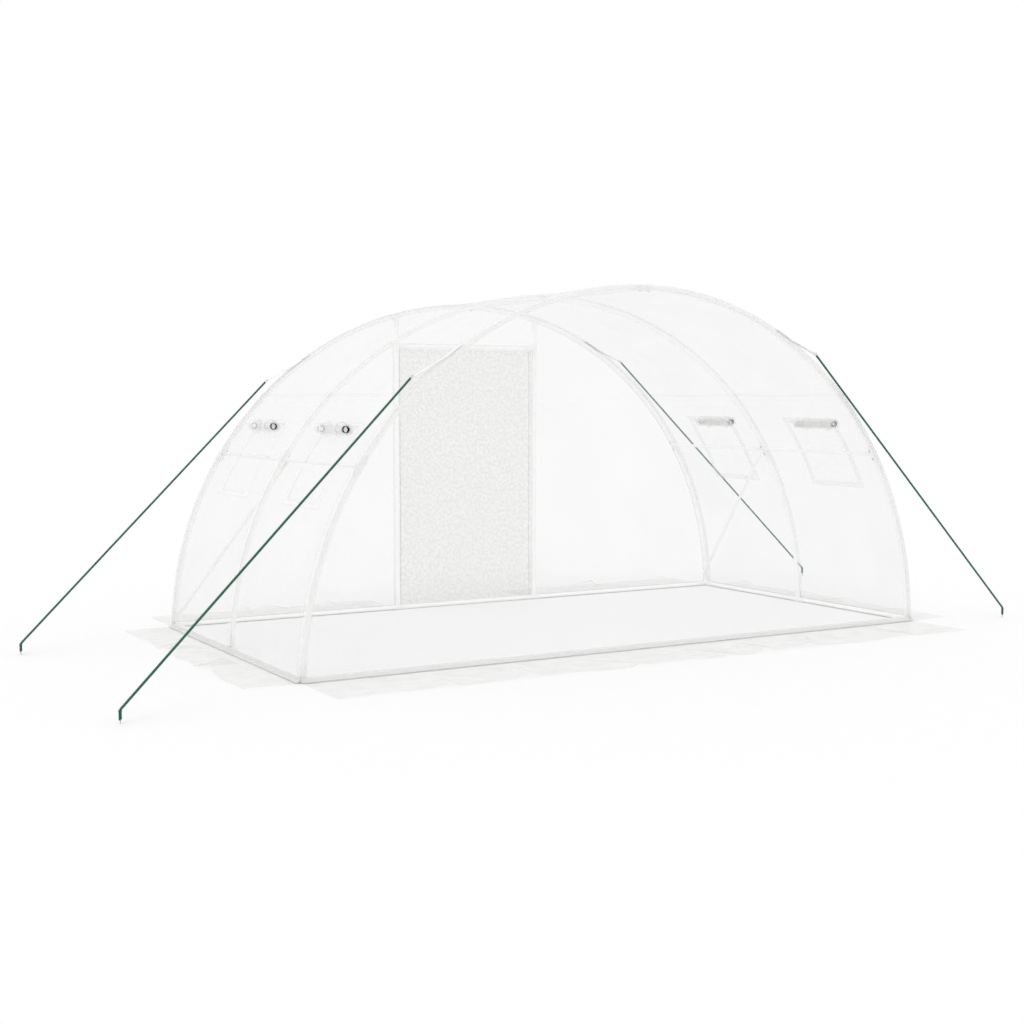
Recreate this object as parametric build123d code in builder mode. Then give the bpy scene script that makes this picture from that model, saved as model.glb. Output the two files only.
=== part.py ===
"""A clear-film polytunnel greenhouse, 4 m wide, 2 m long and 1.97 m high, held by four guy ropes.

Millimetres. X runs across the span, Y along the ridge with the doorway at +Y, Z is up.
The origin is on the ground under the middle hoop's crown.
"""

import os
from math import acos, asin, cos, degrees, radians, sin, tan

from build123d import *

# The tunnel's outline, measured outside the film
span = 4000.0
height = 1970.0
bay_length = 1000.0
bay_count = 2

# Steel tubes of the frame
hoop_tube = 25.0
rail_tube = 25.0
purlin_tube = 19.0
brace_tube = 19.0
door_tube = 25.0

# Sockets that the tubes plug into, and the sleeves over the splits of a hoop
socket_wall = 2.0
socket_length = 70.0
purlin_socket_length = 55.0
sleeve_reach = 50.0
tube_stop = 20.0
hoop_split = 4.0
fit_gap = 0.3
cut_over = 1.0

# Round bars are drawn with flats: sixteen on straight tubes, eight on bent ones and on sockets
tube_flats = 16
bar_flats = 8

# Where the purlins run above the ground, and the doorway's width and its drop from the crown
purlin_height = 1030.0
door_width = 1000.0
door_drop = 290.0

# Film of the cover
film = 3.0

# Windows in the sides, one in each bay, a little nearer to the near gable, with a net and a rolled-up flap
window_bottom = 840.0
window_top = 1215.0
window_width = 400.0
window_shift = 55.0
net = 2.0
roll_outer = 37.0
roll_bore = 20.0
roll_length = 340.0
roll_flats = 12
flap_film = 3.0

# Along the curve: from a window's top down to its roll and up to the roof's seam
roll_drop = 43.0
seam_rise = 227.0

# Ground flaps round the foot of the cover
side_flap_width = 300.0
gable_flap_width = 450.0
flap_wave = 14.0
wave_length = 500.0
least_waves = 3

# Guy ropes: how high each side's are tied, and the straps that hold them over the end hoops
rope = 12.0
left_rope_angle = 47.0
right_rope_angle = 53.6
rope_stand_off = 44.0
strap_width = 30.0
strap_thickness = 4.0
strap_length = 320.0
strap_lift_off = 200.0

# Pegs: how far out they stand, and how far each one is from its hoop along the tunnel
peg_x = 2985.0
near_right_inset = 385.0
near_left_shift = -458.0
far_left_shift = -520.0
near_right_shift = -197.0
far_right_shift = 100.0
peg_rod = 6.0
peg_height = 60.0
peg_tip = 14.0
peg_point = 2.0
lashing_length = 42.0

# Sizes worked out from those above
cover_radius = (height**2 + (span / 2) ** 2) / (2 * height)
centre_z = height - cover_radius
film_inner = cover_radius - film
socket_radius = max(hoop_tube, rail_tube, door_tube) / 2 + fit_gap + socket_wall
hoop_radius = film_inner - fit_gap - socket_radius
rail_z = socket_radius
door_top = height - door_drop
foot_angle = degrees(asin((rail_z - centre_z) / hoop_radius))
foot_x = hoop_radius * cos(radians(foot_angle))
hoop_ys = [bay_length * (i - bay_count / 2) for i in range(bay_count + 1)]
window_ys = [(a + b) / 2 - window_shift for a, b in zip(hoop_ys, hoop_ys[1:])]
near_y, far_y = hoop_ys[0], hoop_ys[-1]
gable_inner = far_y + socket_radius + fit_gap
gable_outer = gable_inner + film
purlin_angle = degrees(asin((purlin_height - centre_z) / hoop_radius))
post_x = (door_width + door_tube) / 2
post_angle = degrees(acos(post_x / hoop_radius))
header_z = door_top + door_tube / 2
purlin_angles = (purlin_angle, 90.0, 180.0 - purlin_angle)
window_low = degrees(asin((window_bottom - centre_z) / cover_radius))
window_high = degrees(asin((window_top - centre_z) / cover_radius))
seam_angle = window_high + degrees(seam_rise / cover_radius)
roll_angle = window_high - degrees(roll_drop / cover_radius)


def cross_plane(y):
    """The upright plane across the tunnel at y: its x is X, its y is Z, and it faces -Y."""
    return Plane.XZ.offset(-y)


def on_circle(radius, angle):
    """The x and z of a point at an angle on a circle about the hoops' centre line."""
    return radius * cos(radians(angle)), centre_z + radius * sin(radians(angle))


def arc_angle(length, radius=hoop_radius):
    """The angle in degrees that an arc of this length takes up on the hoops."""
    return degrees(length / radius)


def flats(radius, count):
    """A section with flats at this distance from its middle, one of them facing its x axis."""
    return RegularPolygon(radius, count, major_radius=False, rotation=180 / count)


def bent_bar(radius, start, end, y):
    """A bar bent along a hoop's line, from one angle to another."""
    x, z = on_circle(hoop_radius, start)
    tangent = (-sin(radians(start)), 0, cos(radians(start)))
    with BuildPart() as bar:
        with BuildSketch(Plane(origin=(x, y, z), x_dir=(0, 1, 0), z_dir=tangent)):
            flats(radius, bar_flats)
        revolve(axis=Axis((0, 0, centre_z), (0, -1, 0)), revolution_arc=end - start)
    return bar.part


def straight_bar(start, end, radius, count=bar_flats):
    """A straight bar between two points, with a flat to each side of its run."""
    run = Vector(*end) - Vector(*start)
    sideways = run.cross(Vector(0, 0, 1))
    x_dir = sideways if sideways.length > 0 else Vector(1, 0, 0)
    with BuildPart() as bar:
        with BuildSketch(Plane(origin=start, x_dir=x_dir, z_dir=run)):
            flats(radius, count)
        extrude(amount=run.length)
    return bar.part


def tube(start, end, diameter):
    """A straight tube between two points, drawn as a bar of its outside size."""
    return straight_bar(start, end, diameter / 2, tube_flats)


def cut(tool):
    """Takes this shape away from the piece that is being built."""
    add(tool, mode=Mode.SUBTRACT)


def shell(inner, outer, start, end, y_low, y_high):
    """A curved sheet between two radii, two angles and two cross planes; start None is the ground."""
    low_out = degrees(asin(-centre_z / outer)) if start is None else start
    low_in = degrees(asin(-centre_z / inner)) if start is None else start
    with BuildPart() as sheet:
        with BuildSketch(cross_plane(y_high)):
            with BuildLine():
                CenterArc((0, centre_z), outer, low_out, end - low_out)
                CenterArc((0, centre_z), inner, low_in, end - low_in)
                Line(on_circle(inner, low_in), on_circle(outer, low_out))
                Line(on_circle(inner, end), on_circle(outer, end))
            make_face()
        extrude(amount=y_high - y_low)
    return sheet.part


def save(piece, name):
    """Labels a finished piece and writes it to its own file."""
    piece.label = name
    export_step(piece, f"parts/{name}.step")


os.makedirs("parts", exist_ok=True)

hoop_names = ["near", "middle", "far"] if bay_count == 2 else [f"line_{i}" for i in range(bay_count + 1)]
bay_names = ["near", "far"] if bay_count == 2 else [f"bay_{i}" for i in range(bay_count)]

# Hoops: four bent tubes each, with their ends inside the foot, purlin and ridge joints
foot_start = foot_angle + arc_angle(tube_stop)
joints_up = (foot_start, *purlin_angles, 180.0 - foot_start)
for name, y in zip(hoop_names, hoop_ys):
    with BuildPart() as hoop:
        for i, (low, high) in enumerate(zip(joints_up, joints_up[1:])):
            low_gap = 0.0 if i == 0 else arc_angle(hoop_split / 2)
            high_gap = 0.0 if i == len(joints_up) - 2 else arc_angle(hoop_split / 2)
            add(bent_bar(hoop_tube / 2, low + low_gap, high - high_gap, y))
    save(hoop.part, f"hoop_{name}")

# Base rails: one across each gable and one along each side, through the middle foot
for name, y in (("near", near_y), ("far", far_y)):
    with BuildPart() as gable_rail:
        reach = foot_x - tube_stop
        add(tube((-reach, y, rail_z), (reach, y, rail_z), rail_tube))
    save(gable_rail.part, f"base_rail_{name}")
for name, side in (("left", -1), ("right", 1)):
    with BuildPart() as side_rail:
        x = side * foot_x
        add(tube((x, near_y + tube_stop, rail_z), (x, far_y - tube_stop, rail_z), rail_tube))
    save(side_rail.part, f"base_rail_{name}")

# Feet: an upright hub on the ground with a sleeve for the hoop and sockets for the rails
rail_bore = rail_tube / 2 + fit_gap
hoop_bore = hoop_tube / 2 + fit_gap
sleeve_low = foot_angle - arc_angle(rail_z / 2)
sleeve_high = foot_angle + arc_angle(socket_length)
bore_low = foot_start - arc_angle(fit_gap)
bore_high = sleeve_high + arc_angle(cut_over)
socket_end = foot_x - socket_length
socket_floor = foot_x - tube_stop + fit_gap
for name, y in zip(hoop_names, hoop_ys):
    at_end = y in (near_y, far_y)
    inward = -1 if y > 0 else 1
    centre = (foot_x, y, rail_z)
    low = y - socket_length
    high = y + socket_length
    with BuildPart() as feet:
        add(straight_bar((foot_x, y, 0), centre, socket_radius))
        add(bent_bar(socket_radius, sleeve_low, sleeve_high, y))
        if at_end:
            y_floor = y + inward * (tube_stop - fit_gap)
            y_end = y + inward * socket_length
            y_cut = y_end + inward * cut_over
            add(straight_bar(centre, (socket_end, y, rail_z), socket_radius))
            add(straight_bar(centre, (foot_x, y_end, rail_z), socket_radius))
            x_cut = socket_end - cut_over
            cut(straight_bar((socket_floor, y, rail_z), (x_cut, y, rail_z), rail_bore))
            cut(straight_bar((foot_x, y_floor, rail_z), (foot_x, y_cut, rail_z), rail_bore))
        else:
            add(straight_bar((foot_x, low, rail_z), (foot_x, high, rail_z), socket_radius))
            low_cut = (foot_x, low - cut_over, rail_z)
            high_cut = (foot_x, high + cut_over, rail_z)
            cut(straight_bar(low_cut, high_cut, rail_bore))
        cut(bent_bar(hoop_bore, bore_low, bore_high, y))
        mirror(about=Plane.YZ)
    save(feet.part, f"feet_{name}")

# Purlin joints: a sleeve over the hoop's split with a socket for the purlin in each bay
joint_reach = arc_angle(sleeve_reach)
joint_cut = arc_angle(sleeve_reach + cut_over)
purlin_socket = purlin_tube / 2 + fit_gap + socket_wall
purlin_bore = purlin_tube / 2 + fit_gap
for name, y in zip(hoop_names, hoop_ys):
    bays = [way for way in (-1, 1) if near_y <= y + way * bay_length / 2 <= far_y]
    with BuildPart() as joints:
        for angle in purlin_angles:
            x, z = on_circle(hoop_radius, angle)
            add(bent_bar(socket_radius, angle - joint_reach, angle + joint_reach, y))
            for way in bays:
                add(straight_bar((x, y, z), (x, y + way * purlin_socket_length, z), purlin_socket))
        for angle in purlin_angles:
            x, z = on_circle(hoop_radius, angle)
            cut(bent_bar(hoop_bore, angle - joint_cut, angle + joint_cut, y))
            for way in bays:
                start = (x, y + way * (tube_stop - fit_gap), z)
                end = (x, y + way * (purlin_socket_length + cut_over), z)
                cut(straight_bar(start, end, purlin_bore))
    save(joints.part, f"purlin_joints_{name}")

# Purlins: one tube in each bay along each side and the ridge
for name, angle in zip(("right", "ridge", "left"), purlin_angles):
    x, z = on_circle(hoop_radius, angle)
    with BuildPart() as purlin:
        for low, high in zip(hoop_ys, hoop_ys[1:]):
            add(tube((x, low + tube_stop, z), (x, high - tube_stop, z), purlin_tube))
    save(purlin.part, f"purlin_{name}")

# Braces: from the middle hoop's purlin joint down to the foot of the far hoop, inside the tubes
brace_radius = hoop_radius - socket_radius - fit_gap - brace_tube / 2
brace_low = foot_angle + arc_angle(socket_length)
for name, side in (("left", -1), ("right", 1)):
    x_top, z_top = on_circle(brace_radius, purlin_angle)
    x_low, z_low = on_circle(brace_radius, brace_low)
    with BuildPart() as brace:
        add(tube((side * x_top, hoop_ys[-2], z_top), (side * x_low, far_y, z_low), brace_tube))
    save(brace.part, f"brace_{name}")

# Door frame in the far gable: two posts from the rail to the hoop, with a header between them
door_bore = door_tube / 2 + fit_gap
clamp = socket_length / 2
_, post_hoop_z = on_circle(hoop_radius, post_angle)
post_low = rail_z + tube_stop
post_top = post_hoop_z - tube_stop - hoop_tube / 2
for name, side in (("left", -1), ("right", 1)):
    with BuildPart() as post:
        x = side * post_x
        add(tube((x, far_y, post_low), (x, far_y, post_top), door_tube))
    save(post.part, f"door_post_{name}")
with BuildPart() as header:
    reach = post_x - tube_stop
    add(tube((-reach, far_y, header_z), (reach, far_y, header_z), door_tube))
save(header.part, "door_header")


def at_post(x_shift, z):
    """A point in the far hoop's plane at this height, this far along X from the right post."""
    return (post_x + x_shift, far_y, z)


# Joints of the door frame: on the rail, on the hoop and where the header meets each post
hoop_reach = arc_angle(clamp)
hoop_cut = arc_angle(clamp + cut_over)
with BuildPart() as door_joints:
    add(straight_bar(at_post(-clamp, rail_z), at_post(clamp, rail_z), socket_radius))
    add(straight_bar(at_post(0, rail_z), at_post(0, rail_z + socket_length), socket_radius))
    add(bent_bar(socket_radius, post_angle - hoop_reach, post_angle + hoop_reach, far_y))
    add(straight_bar(at_post(0, post_hoop_z), at_post(0, post_top - clamp), socket_radius))
    add(straight_bar(at_post(0, header_z - clamp), at_post(0, header_z + clamp), socket_radius))
    add(straight_bar(at_post(0, header_z), at_post(-socket_length, header_z), socket_radius))
    rail_cut = clamp + cut_over
    cut(straight_bar(at_post(-rail_cut, rail_z), at_post(rail_cut, rail_z), rail_bore))
    cut(bent_bar(hoop_bore, post_angle - hoop_cut, post_angle + hoop_cut, far_y))
    cut(straight_bar(at_post(0, post_low - fit_gap), at_post(0, post_top + fit_gap), door_bore))
    header_floor = at_post(fit_gap - tube_stop, header_z)
    header_mouth = at_post(-socket_length - cut_over, header_z)
    cut(straight_bar(header_floor, header_mouth, door_bore))
    mirror(about=Plane.YZ)
save(door_joints.part, "door_frame_joints")

# Roof film: one sheet over both bays between the seams
with BuildPart() as roof_film:
    add(shell(film_inner, cover_radius, seam_angle, 180 - seam_angle, -gable_inner, gable_inner))
save(roof_film.part, "roof_film")

# Side films, nets and rolled flaps: each bay has a window cut through the film
net_gap = arc_angle(fit_gap)
bay_edges = [-gable_inner, *hoop_ys[1:-1], gable_inner]
for i, (name, y) in enumerate(zip(bay_names, window_ys)):
    with BuildPart() as side_film:
        add(shell(film_inner, cover_radius, None, seam_angle, bay_edges[i], bay_edges[i + 1]))
        low, high = y - window_width / 2, y + window_width / 2
        inner, outer = film_inner - cut_over, cover_radius + cut_over
        cut(shell(inner, outer, window_low, window_high, low, high))
    save(side_film.part, f"side_film_right_{name}")
    save(side_film.part.mirror(Plane.YZ), f"side_film_left_{name}")

with BuildPart() as window_nets:
    net_inner = (film_inner + cover_radius - net) / 2
    for y in window_ys:
        low, high = y - window_width / 2 + fit_gap, y + window_width / 2 - fit_gap
        add(shell(net_inner, net_inner + net, window_low + net_gap, window_high - net_gap, low, high))
save(window_nets.part, "window_nets_right")
save(window_nets.part.mirror(Plane.YZ), "window_nets_left")

with BuildPart() as window_rolls:
    flap_inner = cover_radius + fit_gap
    roll_corner = roll_outer / cos(radians(180 / roll_flats))
    roll_x, roll_z = on_circle(flap_inner + roll_corner, roll_angle)
    flap_top = window_high + arc_angle(roll_outer)
    for y in window_ys:
        low, high = y - roll_length / 2, y + roll_length / 2
        add(shell(flap_inner, flap_inner + flap_film, roll_angle, flap_top, low, high))
        add(straight_bar((roll_x, low, roll_z), (roll_x, high, roll_z), roll_outer, roll_flats))
        cut_low = (roll_x, low - cut_over, roll_z)
        cut_high = (roll_x, high + cut_over, roll_z)
        cut(straight_bar(cut_low, cut_high, roll_bore, roll_flats))
save(window_rolls.part, "window_rolls_right")
save(window_rolls.part.mirror(Plane.YZ), "window_rolls_left")


def gable_sheet(y_low, y_high, x_low, x_high, z_low):
    """A flat sheet of the gable between two x values and above a height, round at its top edge."""
    with BuildPart() as sheet:
        with BuildSketch(cross_plane(y_high)):
            with Locations((0, centre_z)):
                Circle(cover_radius)
            with Locations(((x_low + x_high) / 2, (z_low + height) / 2)):
                Rectangle(x_high - x_low, height - z_low, mode=Mode.INTERSECT)
        extrude(amount=y_high - y_low)
    return sheet.part


# Gable films: a whole one at the near end, and three beside and over the doorway at the far end
half = span / 2
door_half = door_width / 2
save(gable_sheet(-gable_outer, -gable_inner, -half, half, 0), "gable_film_near")
save(gable_sheet(gable_inner, gable_outer, -half, -door_half, 0), "gable_film_far_left")
save(gable_sheet(gable_inner, gable_outer, door_half, half, 0), "gable_film_far_right")
save(gable_sheet(gable_inner, gable_outer, -door_half, door_half, door_top), "gable_film_over_door")

# Door screen: a zipped net that closes the doorway between the films
with BuildPart() as door_screen:
    with BuildSketch(cross_plane(gable_outer)):
        with Locations((0, door_top / 2)):
            Rectangle(door_width - 2 * fit_gap, door_top - 2 * fit_gap)
    extrude(amount=film)
save(door_screen.part, "door_screen")


def ground_flap(length, width):
    """A flap on the ground with a wavy outer edge: its inner edge is on y = 0 and it runs to +y."""
    waves = max(least_waves, round(length / wave_length))
    step = length / waves
    edge = [(-length / 2 + step * k, width - flap_wave * (k % 2)) for k in range(waves + 1)]
    with BuildPart() as flap:
        with BuildSketch():
            with BuildLine():
                Spline(edge, tangents=((1, 0), (1, 0)))
                Polyline(edge[-1], (length / 2, 0), (-length / 2, 0), edge[0])
            make_face()
        extrude(amount=film)
    return flap.part


# Ground flaps: one along each side, one along the near gable, and one each side of the doorway
side_flap = ground_flap(2 * gable_outer, side_flap_width)
with BuildPart() as flap_right:
    add(side_flap.rotate(Axis.Z, -90).moved(Location((half + fit_gap, 0, 0))))
save(flap_right.part, "ground_flap_right")
save(flap_right.part.mirror(Plane.YZ), "ground_flap_left")
near_flap = ground_flap(span, gable_flap_width)
with BuildPart() as flap_near:
    add(near_flap.rotate(Axis.Z, 180).moved(Location((0, -gable_outer - fit_gap, 0))))
save(flap_near.part, "ground_flap_near")
beside_door = half - door_half
with BuildPart() as flap_far:
    far_flap = ground_flap(beside_door, gable_flap_width)
    for side in (-1, 1):
        add(far_flap.moved(Location((side * (door_half + beside_door / 2), gable_outer + fit_gap, 0))))
save(flap_far.part, "ground_flaps_far")

# Guy ropes: a taut rope from the strap over each end hoop, lashed to a peg that stands on its point
lashing_bottom = peg_height - lashing_length
lashing_top = peg_height + rope / 2
peg_top = peg_height - rope / 2
left_pegs = [(near_y, peg_x, near_left_shift), (far_y, peg_x, far_left_shift)]
right_pegs = [(near_y, peg_x - near_right_inset, near_right_shift), (far_y, peg_x, far_right_shift)]
rope_sides = [("left", -1, left_rope_angle, left_pegs), ("right", 1, right_rope_angle, right_pegs)]
for name, side, angle, places in rope_sides:
    tie_x, tie_z = on_circle(cover_radius + rope_stand_off, angle)
    with BuildPart() as guy_ropes:
        for y, x, shift in places:
            add(straight_bar((side * tie_x, y, tie_z), (side * x, y + shift, peg_height), rope / 2))
            low = (side * x, y + shift, lashing_bottom)
            high = (side * x, y + shift, lashing_top)
            add(straight_bar(low, high, rope / 2))
        for y, x, shift in places:
            low = (side * x, y + shift, lashing_bottom - cut_over)
            high = (side * x, y + shift, peg_top + fit_gap)
            cut(straight_bar(low, high, peg_rod / 2 + fit_gap))
    save(guy_ropes.part, f"guy_ropes_{name}")

    with BuildPart() as pegs:
        for y, x, shift in places:
            low = (side * x, y + shift, peg_tip)
            add(straight_bar(low, (side * x, y + shift, peg_top), peg_rod / 2))
            with BuildSketch(Plane((side * x, y + shift, 0))):
                flats(peg_point / 2, bar_flats)
            with BuildSketch(Plane(low)):
                flats(peg_rod / 2, bar_flats)
            loft()
    save(pegs.part, f"pegs_{name}")


def rope_end_gap(angle, x, shift):
    """How far a strap stops short of its rope, whose square end leans away from the cover's tangent."""
    tie_x, tie_z = on_circle(cover_radius + rope_stand_off, angle)
    run = Vector(x - tie_x, shift, peg_height - tie_z)
    tangent = Vector(sin(radians(angle)), 0, -cos(radians(angle)))
    return fit_gap + rope / 2 * tan(radians(run.get_angle(tangent)))


def strap(angle, gap, y):
    """A strap that lies on the right of the cover over a hoop, and lifts off it straight to the rope."""
    low, high = cover_radius + fit_gap, cover_radius + fit_gap + strap_thickness
    tie = cover_radius + rope_stand_off
    top = angle + arc_angle(strap_length, cover_radius)
    off = angle + arc_angle(strap_lift_off, cover_radius)
    end = angle + arc_angle(gap, tie)
    low_end = on_circle(tie - strap_thickness / 2, end)
    high_end = on_circle(tie + strap_thickness / 2, end)
    with BuildPart() as piece:
        with BuildSketch(cross_plane(y + strap_width / 2)):
            with BuildLine():
                CenterArc((0, centre_z), low, off, top - off)
                CenterArc((0, centre_z), high, off, top - off)
                Line(on_circle(low, top), on_circle(high, top))
                Polyline(on_circle(low, off), low_end, high_end, on_circle(high, off))
            make_face()
        extrude(amount=strap_width)
    return piece.part


# Straps: one over each end hoop on both sides
with BuildPart() as rope_tabs:
    for _, side, angle, places in rope_sides:
        for y, x, shift in places:
            piece = strap(angle, rope_end_gap(angle, x, shift), y)
            add(piece if side > 0 else piece.mirror(Plane.YZ))
save(rope_tabs.part, "rope_tabs")
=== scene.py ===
"""The looks of a clear-film polytunnel greenhouse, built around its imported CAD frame.

Metres, in the frame of the CAD: X runs across the span, Y along the ridge with the doorway at +Y, Z up.
Each sub-assembly is a class that holds its sizes and makes its pieces as numpy surfaces.
"""

import logging
import math
from dataclasses import dataclass
from enum import Enum
from typing import Sequence

import bmesh
import bpy
import numpy as np
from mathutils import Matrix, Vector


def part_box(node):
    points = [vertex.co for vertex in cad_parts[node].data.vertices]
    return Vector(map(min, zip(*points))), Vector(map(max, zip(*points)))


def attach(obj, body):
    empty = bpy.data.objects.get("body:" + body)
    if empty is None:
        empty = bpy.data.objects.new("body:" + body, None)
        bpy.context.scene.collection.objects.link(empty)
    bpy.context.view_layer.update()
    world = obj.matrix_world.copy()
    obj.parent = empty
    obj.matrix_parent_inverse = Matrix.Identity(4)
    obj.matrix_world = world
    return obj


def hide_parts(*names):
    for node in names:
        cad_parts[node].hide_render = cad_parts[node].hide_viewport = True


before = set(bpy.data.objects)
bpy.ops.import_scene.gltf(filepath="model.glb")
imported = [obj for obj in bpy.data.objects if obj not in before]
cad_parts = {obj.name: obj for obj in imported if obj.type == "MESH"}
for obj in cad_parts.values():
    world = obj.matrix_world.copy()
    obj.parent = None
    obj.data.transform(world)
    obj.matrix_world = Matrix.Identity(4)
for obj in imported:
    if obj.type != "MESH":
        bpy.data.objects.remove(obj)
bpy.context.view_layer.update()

LOG = logging.getLogger("polytunnel")
TURN = 2 * math.pi


class Side(Enum):
    """The two long sides of the tunnel, as the sign of their X."""

    LEFT = -1
    RIGHT = 1

    @property
    def label(self) -> str:
        """The side's name as the nodes have it."""
        return self.name.lower()


class Slot(Enum):
    """The record's material slots."""

    TUBE = "frame_tube"
    JOINT = "frame_joint"
    COVER = "cover_film"
    FLAP = "flap_film"
    ROLL = "rolled_flap"
    NET = "window_net"
    DOOR = "door_net"
    ROPE = "guy_rope"
    WEBBING = "webbing"
    PEG = "peg_steel"


@dataclass(frozen=True)
class Outline:
    """The cover's outline as a part of a cylinder along Y, read off the CAD frame."""

    half_span: float
    height: float
    hoop_ys: tuple[float, ...]
    gable_y: float

    @classmethod
    def from_frame(cls) -> "Outline":
        """Reads the outline off the CAD nodes.

        Returns:
            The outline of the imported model.
        """
        gable_low, gable_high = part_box("gable_film_near")
        middles = []
        for name in ("near", "middle", "far"):
            low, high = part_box(f"hoop_{name}")
            middles.append((low.y + high.y) / 2)
        return cls(gable_high.x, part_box("roof_film")[1].z, tuple(middles), -gable_low.y)

    @property
    def radius(self) -> float:
        """The radius of the arc that has this span and height."""
        return (self.height**2 + self.half_span**2) / (2 * self.height)

    @property
    def centre_z(self) -> float:
        """The height of the arc's centre, a little under the ground."""
        return self.height - self.radius

    @property
    def ground_angle(self) -> float:
        """The angle at which the cover meets the ground on the right."""
        return math.asin(-self.centre_z / self.radius)

    def angle_at(self, z: float) -> float:
        """The angle on the right-hand side at this height."""
        return math.asin((z - self.centre_z) / self.radius)

    def roof_height(self, x: np.ndarray) -> np.ndarray:
        """The cover's height over x: the centre's height plus the root of radius squared less x squared."""
        return self.centre_z + np.sqrt(np.maximum(self.radius**2 - x**2, 0.0))

    def place(self, angle: np.ndarray, lift: np.ndarray, y: np.ndarray) -> np.ndarray:
        """Points off the cylinder: (radius + lift) times (cos angle, sin angle) in X and Z, at y.

        Args:
            angle: Angles about the centre line, from the right-hand ground.
            lift: Heights over the cylinder along its radius.
            y: Places along the ridge.

        Returns:
            The points, in an array with a last axis of three.
        """
        angle, lift, y = np.broadcast_arrays(angle, lift, y)
        reach = self.radius + lift
        return np.stack([reach * np.cos(angle), y, self.centre_z + reach * np.sin(angle)], -1)


@dataclass
class Surface:
    """Points, four-sided faces with their flat map, and end faces of any count of sides."""

    points: np.ndarray
    quads: np.ndarray
    uv: np.ndarray
    ends: list[list[int]]


def grid(
    points: np.ndarray,
    uv: np.ndarray,
    wrap: bool = False,
    keep: np.ndarray | None = None,
    capped: bool = False,
) -> Surface:
    """Makes faces over a grid of points, row i and column j, with face (i, j) between i, i+1, j and j+1.

    Args:
        points: Points of shape (rows, columns, 3).
        uv: Flat map of shape (rows, columns, 2), or one more column where the grid wraps.
        wrap: Whether the last column joins the first.
        keep: Which faces stay, of shape (rows - 1, face columns).
        capped: Whether the first and last rows are closed with a face each.

    Returns:
        The surface, without the points that no face uses.
    """
    rows, columns = points.shape[:2]
    index = np.arange(rows * columns).reshape(rows, columns)
    ends = [index[0].tolist(), index[-1][::-1].tolist()] if capped else []
    if wrap:
        index = np.concatenate([index, index[:, :1]], axis=1)
    quads = np.stack([index[:-1, :-1], index[1:, :-1], index[1:, 1:], index[:-1, 1:]], -1)
    corners = np.stack([uv[:-1, :-1], uv[1:, :-1], uv[1:, 1:], uv[:-1, 1:]], -2)
    if keep is None:
        keep = np.ones(quads.shape[:2], bool)
    quads, corners = quads[keep], corners[keep]
    used, renumbered = np.unique(quads, return_inverse=True)
    flat = points.reshape(-1, 3)
    if len(used) < len(flat):
        return Surface(flat[used], renumbered.reshape(quads.shape), corners, [])
    return Surface(flat, quads, corners, ends)


def joined(parts: Sequence[Surface]) -> Surface:
    """Puts several surfaces into one, side by side and not welded.

    Args:
        parts: The surfaces.

    Returns:
        One surface with all their points and faces.
    """
    starts = np.cumsum([0] + [len(p.points) for p in parts])
    ends = [[int(start) + k for k in end] for start, p in zip(starts, parts) for end in p.ends]
    return Surface(
        np.concatenate([p.points for p in parts]),
        np.concatenate([p.quads + start for start, p in zip(starts, parts)]),
        np.concatenate([p.uv for p in parts]),
        ends,
    )


def make_piece(name: str, surface: Surface, material: bpy.types.Material) -> bpy.types.Object:
    """Puts a surface into the scene as a smooth mesh that rides on the tunnel.

    Args:
        name: The piece's name.
        surface: Its points and faces.
        material: Its material.

    Returns:
        The new object, at the origin.
    """
    mesh = bpy.data.meshes.new(name)
    faces = surface.quads.tolist() + surface.ends
    mesh.from_pydata(surface.points.tolist(), [], faces)
    flat_map = np.zeros((len(mesh.loops), 2))
    flat_map[: surface.uv.reshape(-1, 2).shape[0]] = surface.uv.reshape(-1, 2)
    mesh.uv_layers.new(name="UVMap").data.foreach_set("uv", flat_map.ravel())
    smooth = np.ones(len(faces), bool)
    smooth[len(surface.quads):] = False
    mesh.polygons.foreach_set("use_smooth", smooth)
    mesh.materials.append(material)
    mesh.update()
    piece = bpy.data.objects.new(name, mesh)
    bpy.context.scene.collection.objects.link(piece)
    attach(piece, "root")
    LOG.info("%s: %d faces", name, len(faces))
    return piece


def turn_outwards(piece: bpy.types.Object) -> None:
    """Recalculates a closed piece's faces so that they all point outwards."""
    work = bmesh.new()
    work.from_mesh(piece.data)
    bmesh.ops.recalc_face_normals(work, faces=work.faces)
    work.to_mesh(piece.data)
    work.free()


def thicken(piece: bpy.types.Object, thickness: float) -> None:
    """Gives a sheet its thickness, half to each side, with a closed rim."""
    solid = piece.modifiers.new("thickness", "SOLIDIFY")
    solid.thickness = thickness
    solid.offset = 0.0


def stacked(*coordinates: np.ndarray | float) -> np.ndarray:
    """The coordinates, broadcast against each other, as the last axis of one array."""
    return np.stack(np.broadcast_arrays(*coordinates), -1)


def unit(vectors: np.ndarray) -> np.ndarray:
    """The vectors of an array, each divided by its length."""
    return vectors / np.maximum(np.linalg.norm(vectors, axis=-1, keepdims=True), 1e-12)


def run_length(path: np.ndarray) -> np.ndarray:
    """The distance along a path at each of its points."""
    steps = np.linalg.norm(np.diff(path, axis=0), axis=1)
    return np.concatenate([[0.0], np.cumsum(steps)])


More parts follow.
